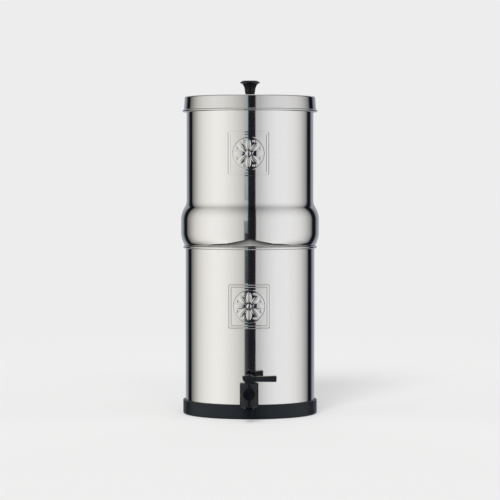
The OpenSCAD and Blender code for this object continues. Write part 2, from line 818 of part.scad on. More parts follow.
lid();
lid_knob();
knob_washer();
knob_screw();
upper_chamber();
at_left() candle_shell();  // candle_shell_left
at_right() candle_shell();  // candle_shell_right
at_left() carbon_core();  // carbon_core_left
at_right() carbon_core();  // carbon_core_right
at_left() candle_base();  // candle_base_left
at_right() candle_base();  // candle_base_right
at_left() floor_washer();  // candle_washer_left
at_right() floor_washer();  // candle_washer_right
at_left() wing_nut();  // wing_nut_left
at_right() wing_nut();  // wing_nut_right
at_front() blanking_plug();  // blanking_plug_front
at_back() blanking_plug();  // blanking_plug_back
at_front() floor_washer();  // plug_washer_front
at_back() floor_washer();  // plug_washer_back
at_front() plug_nut();  // plug_nut_front
at_back() plug_nut();  // plug_nut_back
lower_chamber();
base_ring();
tap_body();
tap_bonnet();
tap_outer_washer();
tap_inner_washer();
tap_nut();
thrust_washer();
tap_spring();
tap_stem();
seat_cup();
lever_pin();
tap_lever();
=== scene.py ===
# Gravity water filter with a lever tap: two steel vessels, lid and knob, filter candles, base ring and tap.
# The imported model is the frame. Sizes below are millimetres and become metres where a shape is made.
import math
import bmesh
import bpy
from mathutils import Matrix, Vector


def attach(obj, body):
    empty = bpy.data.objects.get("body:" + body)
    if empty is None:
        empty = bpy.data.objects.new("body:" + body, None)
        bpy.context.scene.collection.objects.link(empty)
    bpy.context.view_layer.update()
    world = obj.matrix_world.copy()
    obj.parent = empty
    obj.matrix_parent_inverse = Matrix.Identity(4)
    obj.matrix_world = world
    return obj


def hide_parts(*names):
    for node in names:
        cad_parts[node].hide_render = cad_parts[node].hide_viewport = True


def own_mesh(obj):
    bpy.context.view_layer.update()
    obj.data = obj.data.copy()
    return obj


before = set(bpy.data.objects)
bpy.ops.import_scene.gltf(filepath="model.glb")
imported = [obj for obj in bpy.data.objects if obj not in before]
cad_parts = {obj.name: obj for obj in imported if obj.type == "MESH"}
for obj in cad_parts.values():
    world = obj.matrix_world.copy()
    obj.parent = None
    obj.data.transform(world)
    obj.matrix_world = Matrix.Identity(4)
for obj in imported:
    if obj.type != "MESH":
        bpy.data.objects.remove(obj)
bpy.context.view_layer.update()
scene = bpy.context.scene
scene.view_settings.view_transform = "Standard"
print("frame loaded:", len(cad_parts), "nodes")


def toLinear(hexColour, level=1.0):
    channels = [int(hexColour[i:i + 2], 16) / 255 for i in (1, 3, 5)]
    return (*[level * (c / 12.92 if c <= 0.04045 else ((c + 0.055) / 1.055) ** 2.4) for c in channels], 1.0)


def addNode(tree, kind, inputs=None, out=0, stops=None, **settings):
    # each input is a value or another node's output; gives one output, or the node itself where out is None
    made = tree.nodes.new("ShaderNode" + kind)
    for name, value in settings.items():
        setattr(made, name, value)
    for socket, value in (inputs or {}).items():
        if isinstance(value, bpy.types.NodeSocket):
            tree.links.new(value, made.inputs[socket])
        else:
            made.inputs[socket].default_value = value
    if stops:
        marks = made.color_ramp.elements
        while len(marks) < len(stops):
            marks.new(0.5)
        for mark, (place, colour) in zip(marks, stops):
            mark.position = place
            mark.color = colour
    return made if out is None else made.outputs[out]


inColour = {"out": "Result", "data_type": "RGBA"}  # what every mix of two colours is given


def asObject(name, bm):
    mesh = bpy.data.meshes.new(name)
    bm.to_mesh(mesh)
    bm.free()
    piece = bpy.data.objects.new(name, mesh)
    scene.collection.objects.link(piece)
    return piece


# Studio: camera, the light tent that the steel mirrors, two soft lamps and the floor

studio = {
    "distance": 3.70,
    "eyeLevel": 0.3685,
    "turn": 0.5,  # degrees that the camera stands to the right of the tap
    "lookAt": (0.0, 0.0, 0.258),
    "lens": 168.6,
    "backdrop": "#EDEDED",
    "boxLevel": 1.33,  # how much brighter the tent is than its mirror image in the steel
    "ceiling": 0.46,  # tone of the tent's wall tops beside their middle
    "roof": "#D6D6D5",
    "rear": "#C6C7C8",
    # name, power, turn and width of each lamp
    "lamps": [("keyLamp", 2.15, (53, 0, -12), 20), ("fillLamp", 0.42, (53, 0, 14), 20)],
    "floorTone": 0.83,
    "floorGlow": 0.38,  # share of the floor's look that no shadow reaches
    # painted shade: the table's tone falls from its middle to a near-black edge that stands for the shadowed
    # rim of the table
    "tableShadeTones": [(0.0, 0.72), (0.28, 0.6), (0.48, 0.36), (0.97, 0.02)],  # from the middle to the edge
    "tableWidth": 0.4,
    "tableDepth": 0.715,
    "tablePoint": (-0.3, 0.05, 1.1, 2.0),  # from front to middle its outline goes from a blunt point to round
    "tableGlance": (0.62, 0.72),  # seen this edge-on, the table is as bright as the tent behind it
    "floorFade": (1.1, 2.2),  # distances in metres over which the floor becomes the backdrop
}

# The tent's tone round the horizon, in degrees from the camera, as it looks in the steel
tentLeft = [
    (0, "#1C1D23"), (3.1, "#26262B"), (4.1, "#A2ABB1"), (9.2, "#A9B0B3"), (11.2, "#B9B7B2"), (20, "#CAC8C4"),
    (32, "#DAD8D5"), (50, "#E9E7E4"), (68, "#ECEAE7"), (88, "#E1DFDB"), (103, "#CFCCC8"), (113, "#B2AFAB"),
    (121, "#8E8D89"), (127.5, "#6E6E6C"), (131, "#101216"), (138, "#0D0F13"), (143, "#2A2C30"),
    (148, "#73767B"), (156, "#92959B"), (180, "#9A9DA2"),
]
tentRight = [
    (0, "#1C1D23"), (9.4, "#1B1C21"), (10.6, "#B4B4B3"), (16, "#B9B9B8"), (25, "#CBCBCC"), (36, "#D8D8DA"),
    (50, "#E1E1E3"), (70, "#E3E3E3"), (88, "#DBDAD9"), (102, "#C9C8C7"), (112, "#AFAEAE"), (120, "#919193"),
    (125, "#6A6B6E"), (128.5, "#14161A"), (138, "#0F1115"), (141.5, "#24262C"), (146, "#6E7177"),
    (154, "#8F929A"), (180, "#9A9DA2"),
]

# The dark gap that the camera looks through, lighter at its left
tentGap = [(0, "#1B1C20"), (2.5, "#212226"), (5.2, "#37383C"), (8.5, "#454649")]

# Where the tent's zones fade into each other: heights of the direction, and turns in degrees or radians
tentEdges = {
    "leaning": (0.5, 1.4),  # radians from the camera
    "deeper": (-0.6, -0.36, 0.34),  # heights, and the turn in radians that is gained at the lower one
    "gapHeight": (-0.036, 0.004),
    "gapWidth": (8.6, 10.4),  # degrees
    "seamHeight": (-0.004, 0.004, 0.8),  # heights, and the seam's share at the lower one
    "seamWidth": (7.9, 8.8),  # degrees
    "walls": (0.92, 2.3),  # height of the wall tops and how late they darken
    "roof": (0.93, 0.965),
    "behind": (2.5, 2.75),  # radians from the camera
    "aboveTable": (0.2, 0.42),
}


def addCamera():
    data = bpy.data.cameras.new("camera")
    data.lens = studio["lens"]
    data.sensor_width = 36
    camera = bpy.data.objects.new("camera", data)
    turn, away = math.radians(studio["turn"]), studio["distance"]
    camera.location = (away * math.sin(turn), -away * math.cos(turn), studio["eyeLevel"])
    aim = Vector(studio["lookAt"]) - camera.location
    camera.rotation_euler = aim.to_track_quat("-Z", "Y").to_euler()
    scene.collection.objects.link(camera)
    scene.camera = camera


def tentTones(tones):
    return [(degrees / 180, toLinear(tone, studio["boxLevel"])) for degrees, tone in tones]


def addTent():
    world = bpy.data.worlds.new("lightTent")
    world.use_nodes = True
    scene.world = world
    tree = world.node_tree
    tree.nodes.clear()
    e, smooth = tentEdges, {"interpolation_type": "SMOOTHSTEP"}
    direction = addNode(tree, "TexCoord", out="Generated")
    turnBack = -math.radians(studio["turn"])
    squared = addNode(tree, "VectorRotate", {"Vector": direction, "Angle": turnBack}, rotation_type="Z_AXIS")
    x, y, z = addNode(tree, "SeparateXYZ", {0: squared}, out=None).outputs
    front = addNode(tree, "Math", {0: y, 1: -1.0}, operation="MULTIPLY")
    azimuth = addNode(tree, "Math", {0: x, 1: front}, operation="ARCTAN2")
    aside = addNode(tree, "Math", {0: azimuth}, operation="ABSOLUTE")
    # in the middle the strips lean inwards with height, so that on a curved wall they look straight
    nearer = addNode(tree, "Math", {0: front, 1: 1.0}, operation="ADD")
    leaning = addNode(tree, "Math", {0: x, 1: nearer}, operation="ARCTAN2")
    doubled = addNode(tree, "Math", {0: leaning, 1: 2.0}, operation="MULTIPLY")
    middle = addNode(tree, "Math", {0: doubled}, operation="ABSOLUTE")
    low, high = e["leaning"]
    outer = addNode(tree, "MapRange", {0: aside, 1: low, 2: high}, **smooth)
    # well below eye level the dark sides reach further forward
    low, high, gain = e["deeper"]
    deeper = addNode(tree, "MapRange", {0: z, 1: low, 2: high, 3: gain, 4: 0.0})
    drawn = addNode(tree, "Math", {0: aside, 1: deeper}, operation="ADD")
    turn = addNode(tree, "Mix", {"Factor": outer, "A": middle, "B": drawn}, out="Result")
    share = addNode(tree, "Math", {0: turn, 1: math.pi}, operation="DIVIDE")
    left, right, gapLeft = [addNode(tree, "ValToRGB", {0: share}, stops=tentTones(tones))
                            for tones in (tentLeft, tentRight, tentGap)]
    isRight = addNode(tree, "Math", {0: azimuth, 1: 0.0}, operation="GREATER_THAN")
    wall = addNode(tree, "Mix", {"Factor": isRight, "A": left, "B": right}, **inColour)
    # below eye level the gap for the camera is dark right across
    low, high = e["gapHeight"]
    under = addNode(tree, "MapRange", {0: z, 1: low, 2: high, 3: 1.0, 4: 0.0}, **smooth)
    near, far = [math.radians(a) for a in e["gapWidth"]]
    narrow = addNode(tree, "MapRange", {0: turn, 1: near, 2: far, 3: 1.0, 4: 0.0}, **smooth)
    gap = addNode(tree, "Math", {0: under, 1: narrow}, operation="MULTIPLY")
    near, far = [math.radians(a) for a in e["seamWidth"]]
    seam = addNode(tree, "MapRange", {0: turn, 1: near, 2: far})
    low, high, most = e["seamHeight"]
    seamRise = addNode(tree, "MapRange", {0: z, 1: low, 2: high, 3: most, 4: 0.0})
    seamNarrow = addNode(tree, "Math", {0: seam, 1: narrow}, operation="MULTIPLY")
    seamLow = addNode(tree, "Math", {0: seamNarrow, 1: seamRise}, operation="MULTIPLY")
    gapShare = addNode(tree, "Math", {0: gap, 1: seamLow}, operation="MAXIMUM")
    gapRight = tentTones(tentGap)[0][1]
    gapTone = addNode(tree, "Mix", {"Factor": isRight, "A": gapLeft, "B": gapRight}, **inColour)
    gapped = addNode(tree, "Mix", {"Factor": gapShare, "A": wall, "B": gapTone}, **inColour)
    # the walls darken towards the roof
    high, late = e["walls"]
    rise = addNode(tree, "MapRange", {0: z, 1: 0.0, 2: high})
    curve = addNode(tree, "Math", {0: rise, 1: late}, operation="POWER")
    dim = addNode(tree, "MapRange", {0: curve, 1: 0.0, 2: 1.0, 3: 1.0, 4: studio["ceiling"]})
    walls = addNode(tree, "VectorMath", {0: gapped, 3: dim}, operation="SCALE")
    low, high = e["roof"]
    above = addNode(tree, "MapRange", {0: z, 1: low, 2: high}, **smooth)
    roof, rearTone = [toLinear(studio[tone], studio["boxLevel"]) for tone in ("roof", "rear")]
    roofed = addNode(tree, "Mix", {"Factor": above, "A": walls, "B": roof}, **inColour)
    # behind the object the tent is light again above the table
    near, far = e["behind"]
    behind = addNode(tree, "MapRange", {0: aside, 1: near, 2: far}, **smooth)
    low, high = e["aboveTable"]
    over = addNode(tree, "MapRange", {0: z, 1: low, 2: high}, **smooth)
    rear = addNode(tree, "Math", {0: behind, 1: over}, operation="MULTIPLY")
    tent = addNode(tree, "Mix", {"Factor": rear, "A": roofed, "B": rearTone}, **inColour)
    seen = addNode(tree, "LightPath", out="Is Camera Ray")
    backdrop = toLinear(studio["backdrop"])
    colour = addNode(tree, "Mix", {"Factor": seen, "A": tent, "B": backdrop}, **inColour)
    background = addNode(tree, "Background", {"Color": colour, "Strength": 1.0})
    addNode(tree, "OutputWorld", {"Surface": background}, out=None)


def addLamp(name, power, turn, width):
    data = bpy.data.lights.new(name, "SUN")
    data.energy = power
    data.angle = math.radians(width)
    lamp = bpy.data.objects.new(name, data)
    lamp.rotation_euler = [math.radians(a) for a in turn]
    lamp.visible_glossy = False  # the steel mirrors the tent, not the lamps
    scene.collection.objects.link(lamp)


def addFloor():
    material = bpy.data.materials.new("paintedFloor")
    material.use_nodes = True
    tree = material.node_tree
    tree.nodes.clear()
    place = addNode(tree, "TexCoord", out="Object")
    reach = addNode(tree, "VectorMath", {0: place}, out="Value", operation="LENGTH")
    # the table that the underside of the bulge mirrors, darkened towards its rim by painted shade
    depth = addNode(tree, "SeparateXYZ", {0: place}, out=1)
    front, middle, pointed, rounded = studio["tablePoint"]
    blunt = addNode(tree, "MapRange", {0: depth, 1: front, 2: middle, 3: pointed, 4: rounded})
    power = addNode(tree, "CombineXYZ", {0: blunt, 1: blunt, 2: 1.0})
    size = (1 / studio["tableWidth"], 1 / studio["tableDepth"], 0)
    scaled = addNode(tree, "VectorMath", {0: place, 1: size}, operation="MULTIPLY")
    flipped = addNode(tree, "VectorMath", {0: scaled}, operation="ABSOLUTE")
    bowed = addNode(tree, "VectorMath", {0: flipped, 1: power}, operation="POWER")
    spread = addNode(tree, "VectorMath", {0: bowed, 1: (1, 1, 0)}, out="Value", operation="DOT_PRODUCT")
    tone = studio["floorTone"]
    paint = addNode(tree, "BsdfDiffuse", {"Color": (tone, tone, tone, 1)})
    flat = addNode(tree, "Emission", {"Color": toLinear(studio["backdrop"]), "Strength": 1.0})
    # painted shade: the board's tone darkens from its middle to a near-black rim
    tones = [(place, (tone, tone, tone, 1)) for place, tone in studio["tableShadeTones"]]
    paintedShadeBoard = addNode(tree, "ValToRGB", {0: spread}, stops=tones)
    table = addNode(tree, "BsdfDiffuse", {"Color": paintedShadeBoard})
    clear = addNode(tree, "BsdfTransparent")
    beyond = addNode(tree, "Math", {0: spread, 1: 1.0}, operation="GREATER_THAN")
    facing = addNode(tree, "LayerWeight", {"Blend": 0.5}, out="Facing")
    low, high = studio["tableGlance"]
    glancing = addNode(tree, "MapRange", {0: facing, 1: low, 2: high})
    seeThrough = addNode(tree, "Math", {0: beyond, 1: glancing}, operation="MAXIMUM")
    mirrored = addNode(tree, "MixShader", {0: seeThrough, 1: table, 2: clear})
    path = addNode(tree, "LightPath", out=None).outputs
    lit = addNode(tree, "MixShader", {0: path["Is Glossy Ray"], 1: paint, 2: mirrored})
    near, far = studio["floorFade"]
    glow = addNode(tree, "MapRange", {0: reach, 1: near, 2: far, 3: studio["floorGlow"]})
    fade = addNode(tree, "Math", {0: glow, 1: path["Is Camera Ray"]}, operation="MULTIPLY")
    whole = addNode(tree, "MixShader", {0: fade, 1: lit, 2: flat})
    addNode(tree, "OutputMaterial", {"Surface": whole}, out=None)
    bm = bmesh.new()
    bmesh.ops.create_circle(bm, cap_ends=True, segments=96, radius=9)
    floor = asObject("floor", bm)
    floor.data.materials.append(material)


addCamera()
addTent()
for lamp in studio["lamps"]:
    addLamp(*lamp)
addFloor()
print("studio ready")


# Materials

def startMaterial(name, values):
    material = bpy.data.materials.new(name)
    material.use_nodes = True
    tree = material.node_tree
    shader = tree.nodes["Principled BSDF"]
    for socket, value in values.items():
        shader.inputs[socket].default_value = value
    place = addNode(tree, "TexCoord", out="Object")
    inMm = addNode(tree, "VectorMath", {0: place, "Scale": 1000.0}, operation="SCALE")
    return material, tree, inMm


def finishMaterial(material, colour, rough, normal):
    tree = material.node_tree
    for socket, source in (("Base Color", colour), ("Roughness", rough), ("Normal", normal)):
        tree.links.new(source, tree.nodes["Principled BSDF"].inputs[socket])
    return material


def polishedStainless(name, centre=(0, 0), lineWidth=0.9, light="#E2E2E1", shade="#E0E0DF", rough=0.045):
    # Stainless sheet spun and polished on a lathe: a near mirror that fine turning lines blur up and down
    material, tree, inMm = startMaterial(name, {"Metallic": 1.0})
    moved = addNode(tree, "VectorMath", {0: inMm, 1: (-centre[0], -centre[1], 0)}, operation="ADD")
    across = addNode(tree, "VectorMath", {0: moved, 1: (1, 1, 0)}, operation="MULTIPLY")
    radius = addNode(tree, "VectorMath", {0: across}, out="Value", operation="LENGTH")
    height = addNode(tree, "SeparateXYZ", {0: moved}, out=2)
    rings = addNode(tree, "CombineXYZ", {0: radius, 1: height})
    drift = addNode(tree, "VectorMath", {0: moved, "Scale": 0.012}, operation="SCALE")
    lathe = addNode(tree, "VectorMath", {0: rings, 1: drift}, operation="ADD")
    fine = {"Vector": lathe, "Scale": 1 / lineWidth, "Detail": 2.0, "Roughness": 0.6}
    lines = addNode(tree, "TexNoise", fine)
    bands = addNode(tree, "TexNoise", {"Vector": lathe, "Scale": 0.11, "Detail": 1.0})
    cloud = addNode(tree, "TexNoise", {"Vector": moved, "Scale": 0.02, "Detail": 2.0})
    lineTone = addNode(tree, "MapRange", {0: lines, 1: 0.3, 2: 0.7})
    low, high = toLinear(shade), toLinear(light)
    colour = addNode(tree, "Mix", {"Factor": lineTone, "A": low, "B": high}, **inColour)
    mixed = addNode(tree, "Math", {0: lines, 1: cloud}, operation="MULTIPLY")
    blur = addNode(tree, "MapRange", {0: mixed, 1: 0.1, 2: 0.4, 3: rough, 4: rough * 1.4 + 0.02})
    dents = addNode(tree, "Bump", {"Height": cloud, "Strength": 1.0, "Distance": 3e-5})
    waves = addNode(tree, "Bump", {"Height": bands, "Normal": dents, "Strength": 1.0, "Distance": 3e-6})
    scratch = addNode(tree, "Bump", {"Height": lines, "Normal": waves, "Strength": 1.0, "Distance": 4e-7})
    return finishMaterial(material, colour, blur, scratch)


def mouldedPlastic(name, base, worn, rough, grain=0.35, depth=0.000012, shine=0.5):
    # Injection-moulded plastic: an even colour, slightly cloudy, with the fine spark grain of the tool
    material, tree, inMm = startMaterial(name, {"IOR": 1.49, "Specular IOR Level": shine})
    cloud = addNode(tree, "TexNoise", {"Vector": inMm, "Scale": 0.12, "Detail": 3.0})
    spark = addNode(tree, "TexNoise", {"Vector": inMm, "Scale": 1 / grain, "Detail": 2.0})
    patch = addNode(tree, "MapRange", {0: cloud, 1: 0.35, 2: 0.75})
    colour = addNode(tree, "Mix", {"Factor": patch, "A": toLinear(base), "B": toLinear(worn)}, **inColour)
    gloss = addNode(tree, "MapRange", {0: cloud, 1: 0.3, 2: 0.7, 3: rough - 0.05, 4: rough + 0.06})
    bump = addNode(tree, "Bump", {"Height": spark, "Strength": 0.6, "Distance": depth})
    return finishMaterial(material, colour, gloss, bump)


def firedCeramic(name):
    # Unglazed fired ceramic: chalky and matt, with pores about 0.6 mm apart and faint casting marks
    material, tree, inMm = startMaterial(name, {"IOR": 1.52})
    pores = addNode(tree, "TexVoronoi", {"Vector": inMm, "Scale": 1 / 0.6}, out="Distance")
    cloud = addNode(tree, "TexNoise", {"Vector": inMm, "Scale": 0.05, "Detail": 4.0})
    tones = [(0.3, toLinear("#E6E0D2")), (0.7, toLinear("#F2EEE4"))]
    colour = addNode(tree, "ValToRGB", {0: cloud}, stops=tones)
    rough = addNode(tree, "MapRange", {0: pores, 1: 0.0, 2: 0.8, 3: 0.95, 4: 0.8})
    bump = addNode(tree, "Bump", {"Height": pores, "Strength": 0.5, "Distance": 0.00006})
    return finishMaterial(material, colour, rough, bump)


def pressedCarbon(name):
    # Pressed carbon: black grains of about 0.8 mm with a dull glint
    material, tree, inMm = startMaterial(name, {"IOR": 1.6})
    grains = addNode(tree, "TexVoronoi", {"Vector": inMm, "Scale": 1 / 0.8}, out=None)
    tone = addNode(tree, "SeparateXYZ", {0: grains.outputs["Color"]})
    tones = [(0.0, toLinear("#141414")), (1.0, toLinear("#2C2C2D"))]
    colour = addNode(tree, "ValToRGB", {0: tone}, stops=tones)
    rough = addNode(tree, "MapRange", {0: tone, 1: 0.0, 2: 1.0, 3: 0.55, 4: 0.9})
    bump = addNode(tree, "Bump", {"Height": grains.outputs["Distance"], "Strength": 0.7, "Distance": 0.0001})
    return finishMaterial(material, colour, rough, bump)


steelSheet = polishedStainless("polishedStainlessSheet")
# painted shade: the lid takes a darker copy of the wall steel, standing in for the dimmer light that its top
# mirrors
steelLidShaded = polishedStainless("polishedStainlessLidShaded", light="#D1D1D0", shade="#CDCDCC")
steelInside = polishedStainless("satinStainlessInside", lineWidth=1.2, light="#DCDCDA", shade="#CECECC",
                                rough=0.3)
steelWire = polishedStainless("drawnStainlessHardware", lineWidth=0.4, light="#C9C9C8", shade="#AEAEAE")
knobPlastic = mouldedPlastic("mouldedBlackPhenolic", "#08090E", "#0D0E13", 0.26, shine=0.26)
tapPlastic = mouldedPlastic("mouldedBlackPolypropylene", "#05080D", "#0A0D13", 0.2, shine=0.29)
# painted shade: the spout gets a rougher, duller and darker copy of the tap plastic, standing in for the
# shade beneath the barrel
spoutShadedPlastic = mouldedPlastic("mouldedMattShadedPolypropylene", "#060A11", "#0A0E15", 0.5, shine=0.1)
leverPlastic = mouldedPlastic("mouldedSatinPolypropylene", "#090C11", "#0F1319", 0.4, shine=0.34)
whitePlastic = mouldedPlastic("mouldedWhitePolypropylene", "#DDE1E4", "#E6E9EA", 0.42)
baseRubber = mouldedPlastic("mouldedSatinRubber", "#0B1117", "#10171E", 0.33, grain=0.5, depth=0.00002,
                            shine=0.25)
sealRubber = mouldedPlastic("mouldedSealRubber", "#26272A", "#303134", 0.6)
seatSilicone = mouldedPlastic("mouldedSilicone", "#C9C9C3", "#D6D6D0", 0.5)
ceramic = firedCeramic("firedCeramic")
carbon = pressedCarbon("pressedCarbon")
print("materials ready")


# Shared shaping

def arcPoints(x, z, radius, start, end, count=12):
    turns = [math.radians(start + (end - start) * i / count) for i in range(count + 1)]
    return [(x + radius * math.cos(t), z + radius * math.sin(t)) for t in turns]


def between(a, b, spacing=10, support=0.8):
    # points along a straight run, with one close to each end so that the shading stays flat between them
    length = math.dist(a, b)
    count = max(1, round(length / spacing))
    shares = sorted({support / length, 1 - support / length, *[i / count for i in range(1, count)]})
    return [(a[0] + (b[0] - a[0]) * s, a[1] + (b[1] - a[1]) * s) for s in shares]


def turned(name, outline, steps=96, at=(0, 0), closed=False, place=None):
    # spins a section of (radius, height) points round an upright axis; closed joins its ends, as for a ring
    part = bmesh.new()
    verts = [part.verts.new(Vector((r, 0, z)) / 1000) for r, z in outline]
    edges = [part.edges.new(pair) for pair in zip(verts, verts[1:])]
    if closed:
        edges.append(part.edges.new((verts[-1], verts[0])))
    bmesh.ops.spin(part, geom=verts + edges, cent=(0, 0, 0), axis=(0, 0, 1), angle=math.tau, steps=steps,
                   use_merge=True)
    bmesh.ops.remove_doubles(part, verts=part.verts, dist=1e-6)
    bmesh.ops.recalc_face_normals(part, faces=part.faces)
    moved = Matrix.Translation(Vector((at[0], at[1], 0)) / 1000) @ (place or Matrix.Identity(4))
    bmesh.ops.transform(part, matrix=moved, verts=part.verts)
    return asObject(name, part)


def alongY(y, z, way=1):
    # turns an upright section to point along +Y from y at height z, or along -Y where way is -1
    return Matrix.Translation(Vector((0, y, z)) / 1000) @ Matrix.Rotation(-way * math.pi / 2, 4, "X")


def bevelled(radius, low, high, across, up, hole=0):
    # the section of a rod, nut or washer whose edges are cut back by across and up
    edge = radius - across
    return [(hole, low), (edge, low), (radius, low + up), (radius, high - up), (edge, high), (hole, high)]


def drill(radius, low, high, steps=48, at=(0, 0), place=None):
    # a round cutting tool
    outline = [(0, low), (radius, low), (radius, high), (0, high)]
    return turned("drill", outline, steps, at, place=place)


def carve(piece, tools, operation="DIFFERENCE"):
    # one tool at a time, welding the slivers of each cut, so that the mesh stays closed
    for tool in tools:
        change = piece.modifiers.new("carve", "BOOLEAN")
        change.operation = operation
        change.solver = "EXACT"
        change.object = tool
        bpy.context.view_layer.update()
        shaped = bpy.data.meshes.new_from_object(piece.evaluated_get(bpy.context.evaluated_depsgraph_get()))
        piece.modifiers.clear()
        bpy.data.objects.remove(tool)
        bm = bmesh.new()
        bm.from_mesh(shaped)
        bmesh.ops.remove_doubles(bm, verts=bm.verts, dist=4e-6)
        bmesh.ops.dissolve_degenerate(bm, edges=bm.edges, dist=4e-6)
        bm.to_mesh(shaped)
        bm.free()
        piece.data = shaped


def dress(piece, material, body, slotName, *nodes, crease=35, edge=0):
    mesh = piece.data
    mesh.materials.clear()
    mesh.materials.append(material)
    mesh.shade_smooth()
    mesh.set_sharp_from_angle(angle=math.radians(crease))
    if edge:
        soften = piece.modifiers.new("softEdges", "BEVEL")
        soften.width = edge / 1000
        soften.segments = 2
        soften.limit_method = "ANGLE"
        soften.angle_limit = math.radians(crease)
        soften.harden_normals = True
    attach(piece, body)
    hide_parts(*nodes)


def finishInside(piece, bead):
    # the faces that look inwards keep the duller satin of the spinning
    mesh = piece.data
    mesh.materials.append(steelInside)
    for face in mesh.polygons:
        x, y, z = face.center * 1000
        outwards = (face.normal.x * x + face.normal.y * y) / max(1, math.hypot(x, y))
        if z < bead and (outwards < -0.1 or face.normal.z > 0.6):
            face.material_index = 1


# Lower vessel and base ring

lowerSizes = {"radius": 101.65, "wall": 0.8, "floor": 6.0, "corner": 8.0, "beadX": 103.15, "beadZ": 263.15,
              "bead": 2.25, "holeZ": 42.7, "hole": 16.4, "steps": 256}


def lowerVessel():
    s = lowerSizes
    r, t, c = s["radius"], s["wall"], s["corner"]
    outer = [(0, s["floor"])] + between((0, s["floor"]), (r - c, s["floor"]), 30, 1.5)
    outer += arcPoints(r - c, s["floor"] + c, c, -90, 0)
    turnIn = math.degrees(math.acos((s["beadX"] - r) / s["bead"]))
    meet = s["beadZ"] - s["bead"] * math.sin(math.radians(turnIn))
    outer += between((r, s["floor"] + c), (r, meet), 10)
    outer += arcPoints(s["beadX"], s["beadZ"], s["bead"], turnIn - 180, 180, 26)[:-1]
    inner = [(r - t, s["beadZ"])] + between((r - t, s["beadZ"]), (r - t, s["floor"] + c), 24)
    inner += arcPoints(r - c, s["floor"] + c, c - t, 0, -90, 8)
    inner += between((r - c, s["floor"] + t), (0, s["floor"] + t), 30, 1.5) + [(0, s["floor"] + t)]
    piece = turned("lowerVessel", outer + inner, s["steps"])
    carve(piece, [drill(s["hole"] / 2, -8, 8, 64, place=alongY(-r, s["holeZ"]))])
    dress(piece, steelSheet, "lower_vessel", "polished_steel", "lower_chamber")
    finishInside(piece, s["beadZ"])


ringSizes = {"inner": 83.65, "bore": 101.95, "outer": 105.7, "height": 22.5, "ledge": 6.0, "foot": 3.0,
             "lip": 1.4, "steps": 256}


def baseRing():
    s = ringSizes
    foot, lip = s["foot"], s["lip"]
    outline = [(s["inner"] + 0.5, 0)] + between((s["inner"], 0), (s["outer"] - foot, 0), 8)
    outline += arcPoints(s["outer"] - foot, foot, foot, -90, 0, 10)
    outline += between((s["outer"], foot), (s["outer"], s["height"] - lip), 5)
    outline += arcPoints(s["outer"] - lip, s["height"] - lip, lip, 0, 90, 8)
    outline += arcPoints(s["bore"] + 0.5, s["height"] - 0.5, 0.5, 90, 180, 4)
    outline += [(s["bore"], s["ledge"] + 0.4), (s["bore"] - 0.4, s["ledge"]), (s["inner"] + 0.5, s["ledge"])]
    outline += [(s["inner"], s["ledge"] - 0.5), (s["inner"], 0.5)]
    piece = turned("baseRing", outline, s["steps"], closed=True)
    dress(piece, baseRubber, "lower_vessel", "base_rubber", "base_ring")


lowerVessel()
baseRing()
print("lower vessel and base ring made")


# Upper vessel

upperSizes = {"radius": 100.0, "wall": 0.8, "floor": 243.066, "top": 498.866, "recess": 98.2,
              "corner": 8.0, "fillet": 1.5, "shoulder": 5.0, "shoulderZ": 264.866, "bulge": 108.8,
              "under": 42.0, "band": 19.2, "over": 37.7, "neck": 20.5, "beadX": 100.5, "bead": 1.4,
              "holeAt": 50.0, "hole": 12.4, "steps": 256}


def upperLine(inset, fine):
    # the vessel's section from the middle of its floor to the rim, moved inwards by inset
    s = upperSizes
    shoulderX = s["recess"] + s["fillet"]
    underTurn = math.acos((shoulderX - s["bulge"] + s["under"]) / (s["under"] - s["shoulder"]))
    bandZ = s["shoulderZ"] + s["shoulder"] + (s["under"] - s["shoulder"]) * math.sin(underTurn)
    neckTurn = math.acos(1 - (s["bulge"] - s["radius"]) / (s["over"] + s["neck"]))
    neckZ = bandZ + s["band"] + (s["over"] + s["neck"]) * math.sin(neckTurn)
    under, neck = math.degrees(underTurn), math.degrees(neckTurn)
    r, floor = s["recess"] - inset, s["floor"] + inset
    cornerX, cornerZ = s["recess"] - s["corner"], s["floor"] + s["corner"]
    filletZ, shoulderTop = s["shoulderZ"] - s["fillet"], s["shoulderZ"] + s["shoulder"]
    line = [(0, floor)] + between((0, floor), (cornerX, floor), 30, 1.5)
    line += arcPoints(cornerX, cornerZ, s["corner"] - inset, -90, 0, fine // 2)
    line += between((r, cornerZ), (r, filletZ), 8)
    line += arcPoints(shoulderX, filletZ, s["fillet"] + inset, 180, 90, fine // 3)[:-1]
    line += arcPoints(shoulderX, shoulderTop, s["shoulder"] - inset, -90, -under, fine // 2)[:-1]
    line += arcPoints(s["bulge"] - s["under"], bandZ, s["under"] - inset, -under, 0, fine)
    line += between((s["bulge"] - inset, bandZ), (s["bulge"] - inset, bandZ + s["band"]), 6)
    line += arcPoints(s["bulge"] - s["over"], bandZ + s["band"], s["over"] - inset, 0, neck, fine)[:-1]
    line += arcPoints(s["radius"] + s["neck"], neckZ, s["neck"] + inset, 180 + neck, 180, fine)
    meetZ = s["top"] - s["bead"] - math.sqrt(s["bead"] ** 2 - (s["beadX"] - s["radius"] + inset) ** 2)
    return line + between((s["radius"] - inset, neckZ), (s["radius"] - inset, meetZ), 10), meetZ


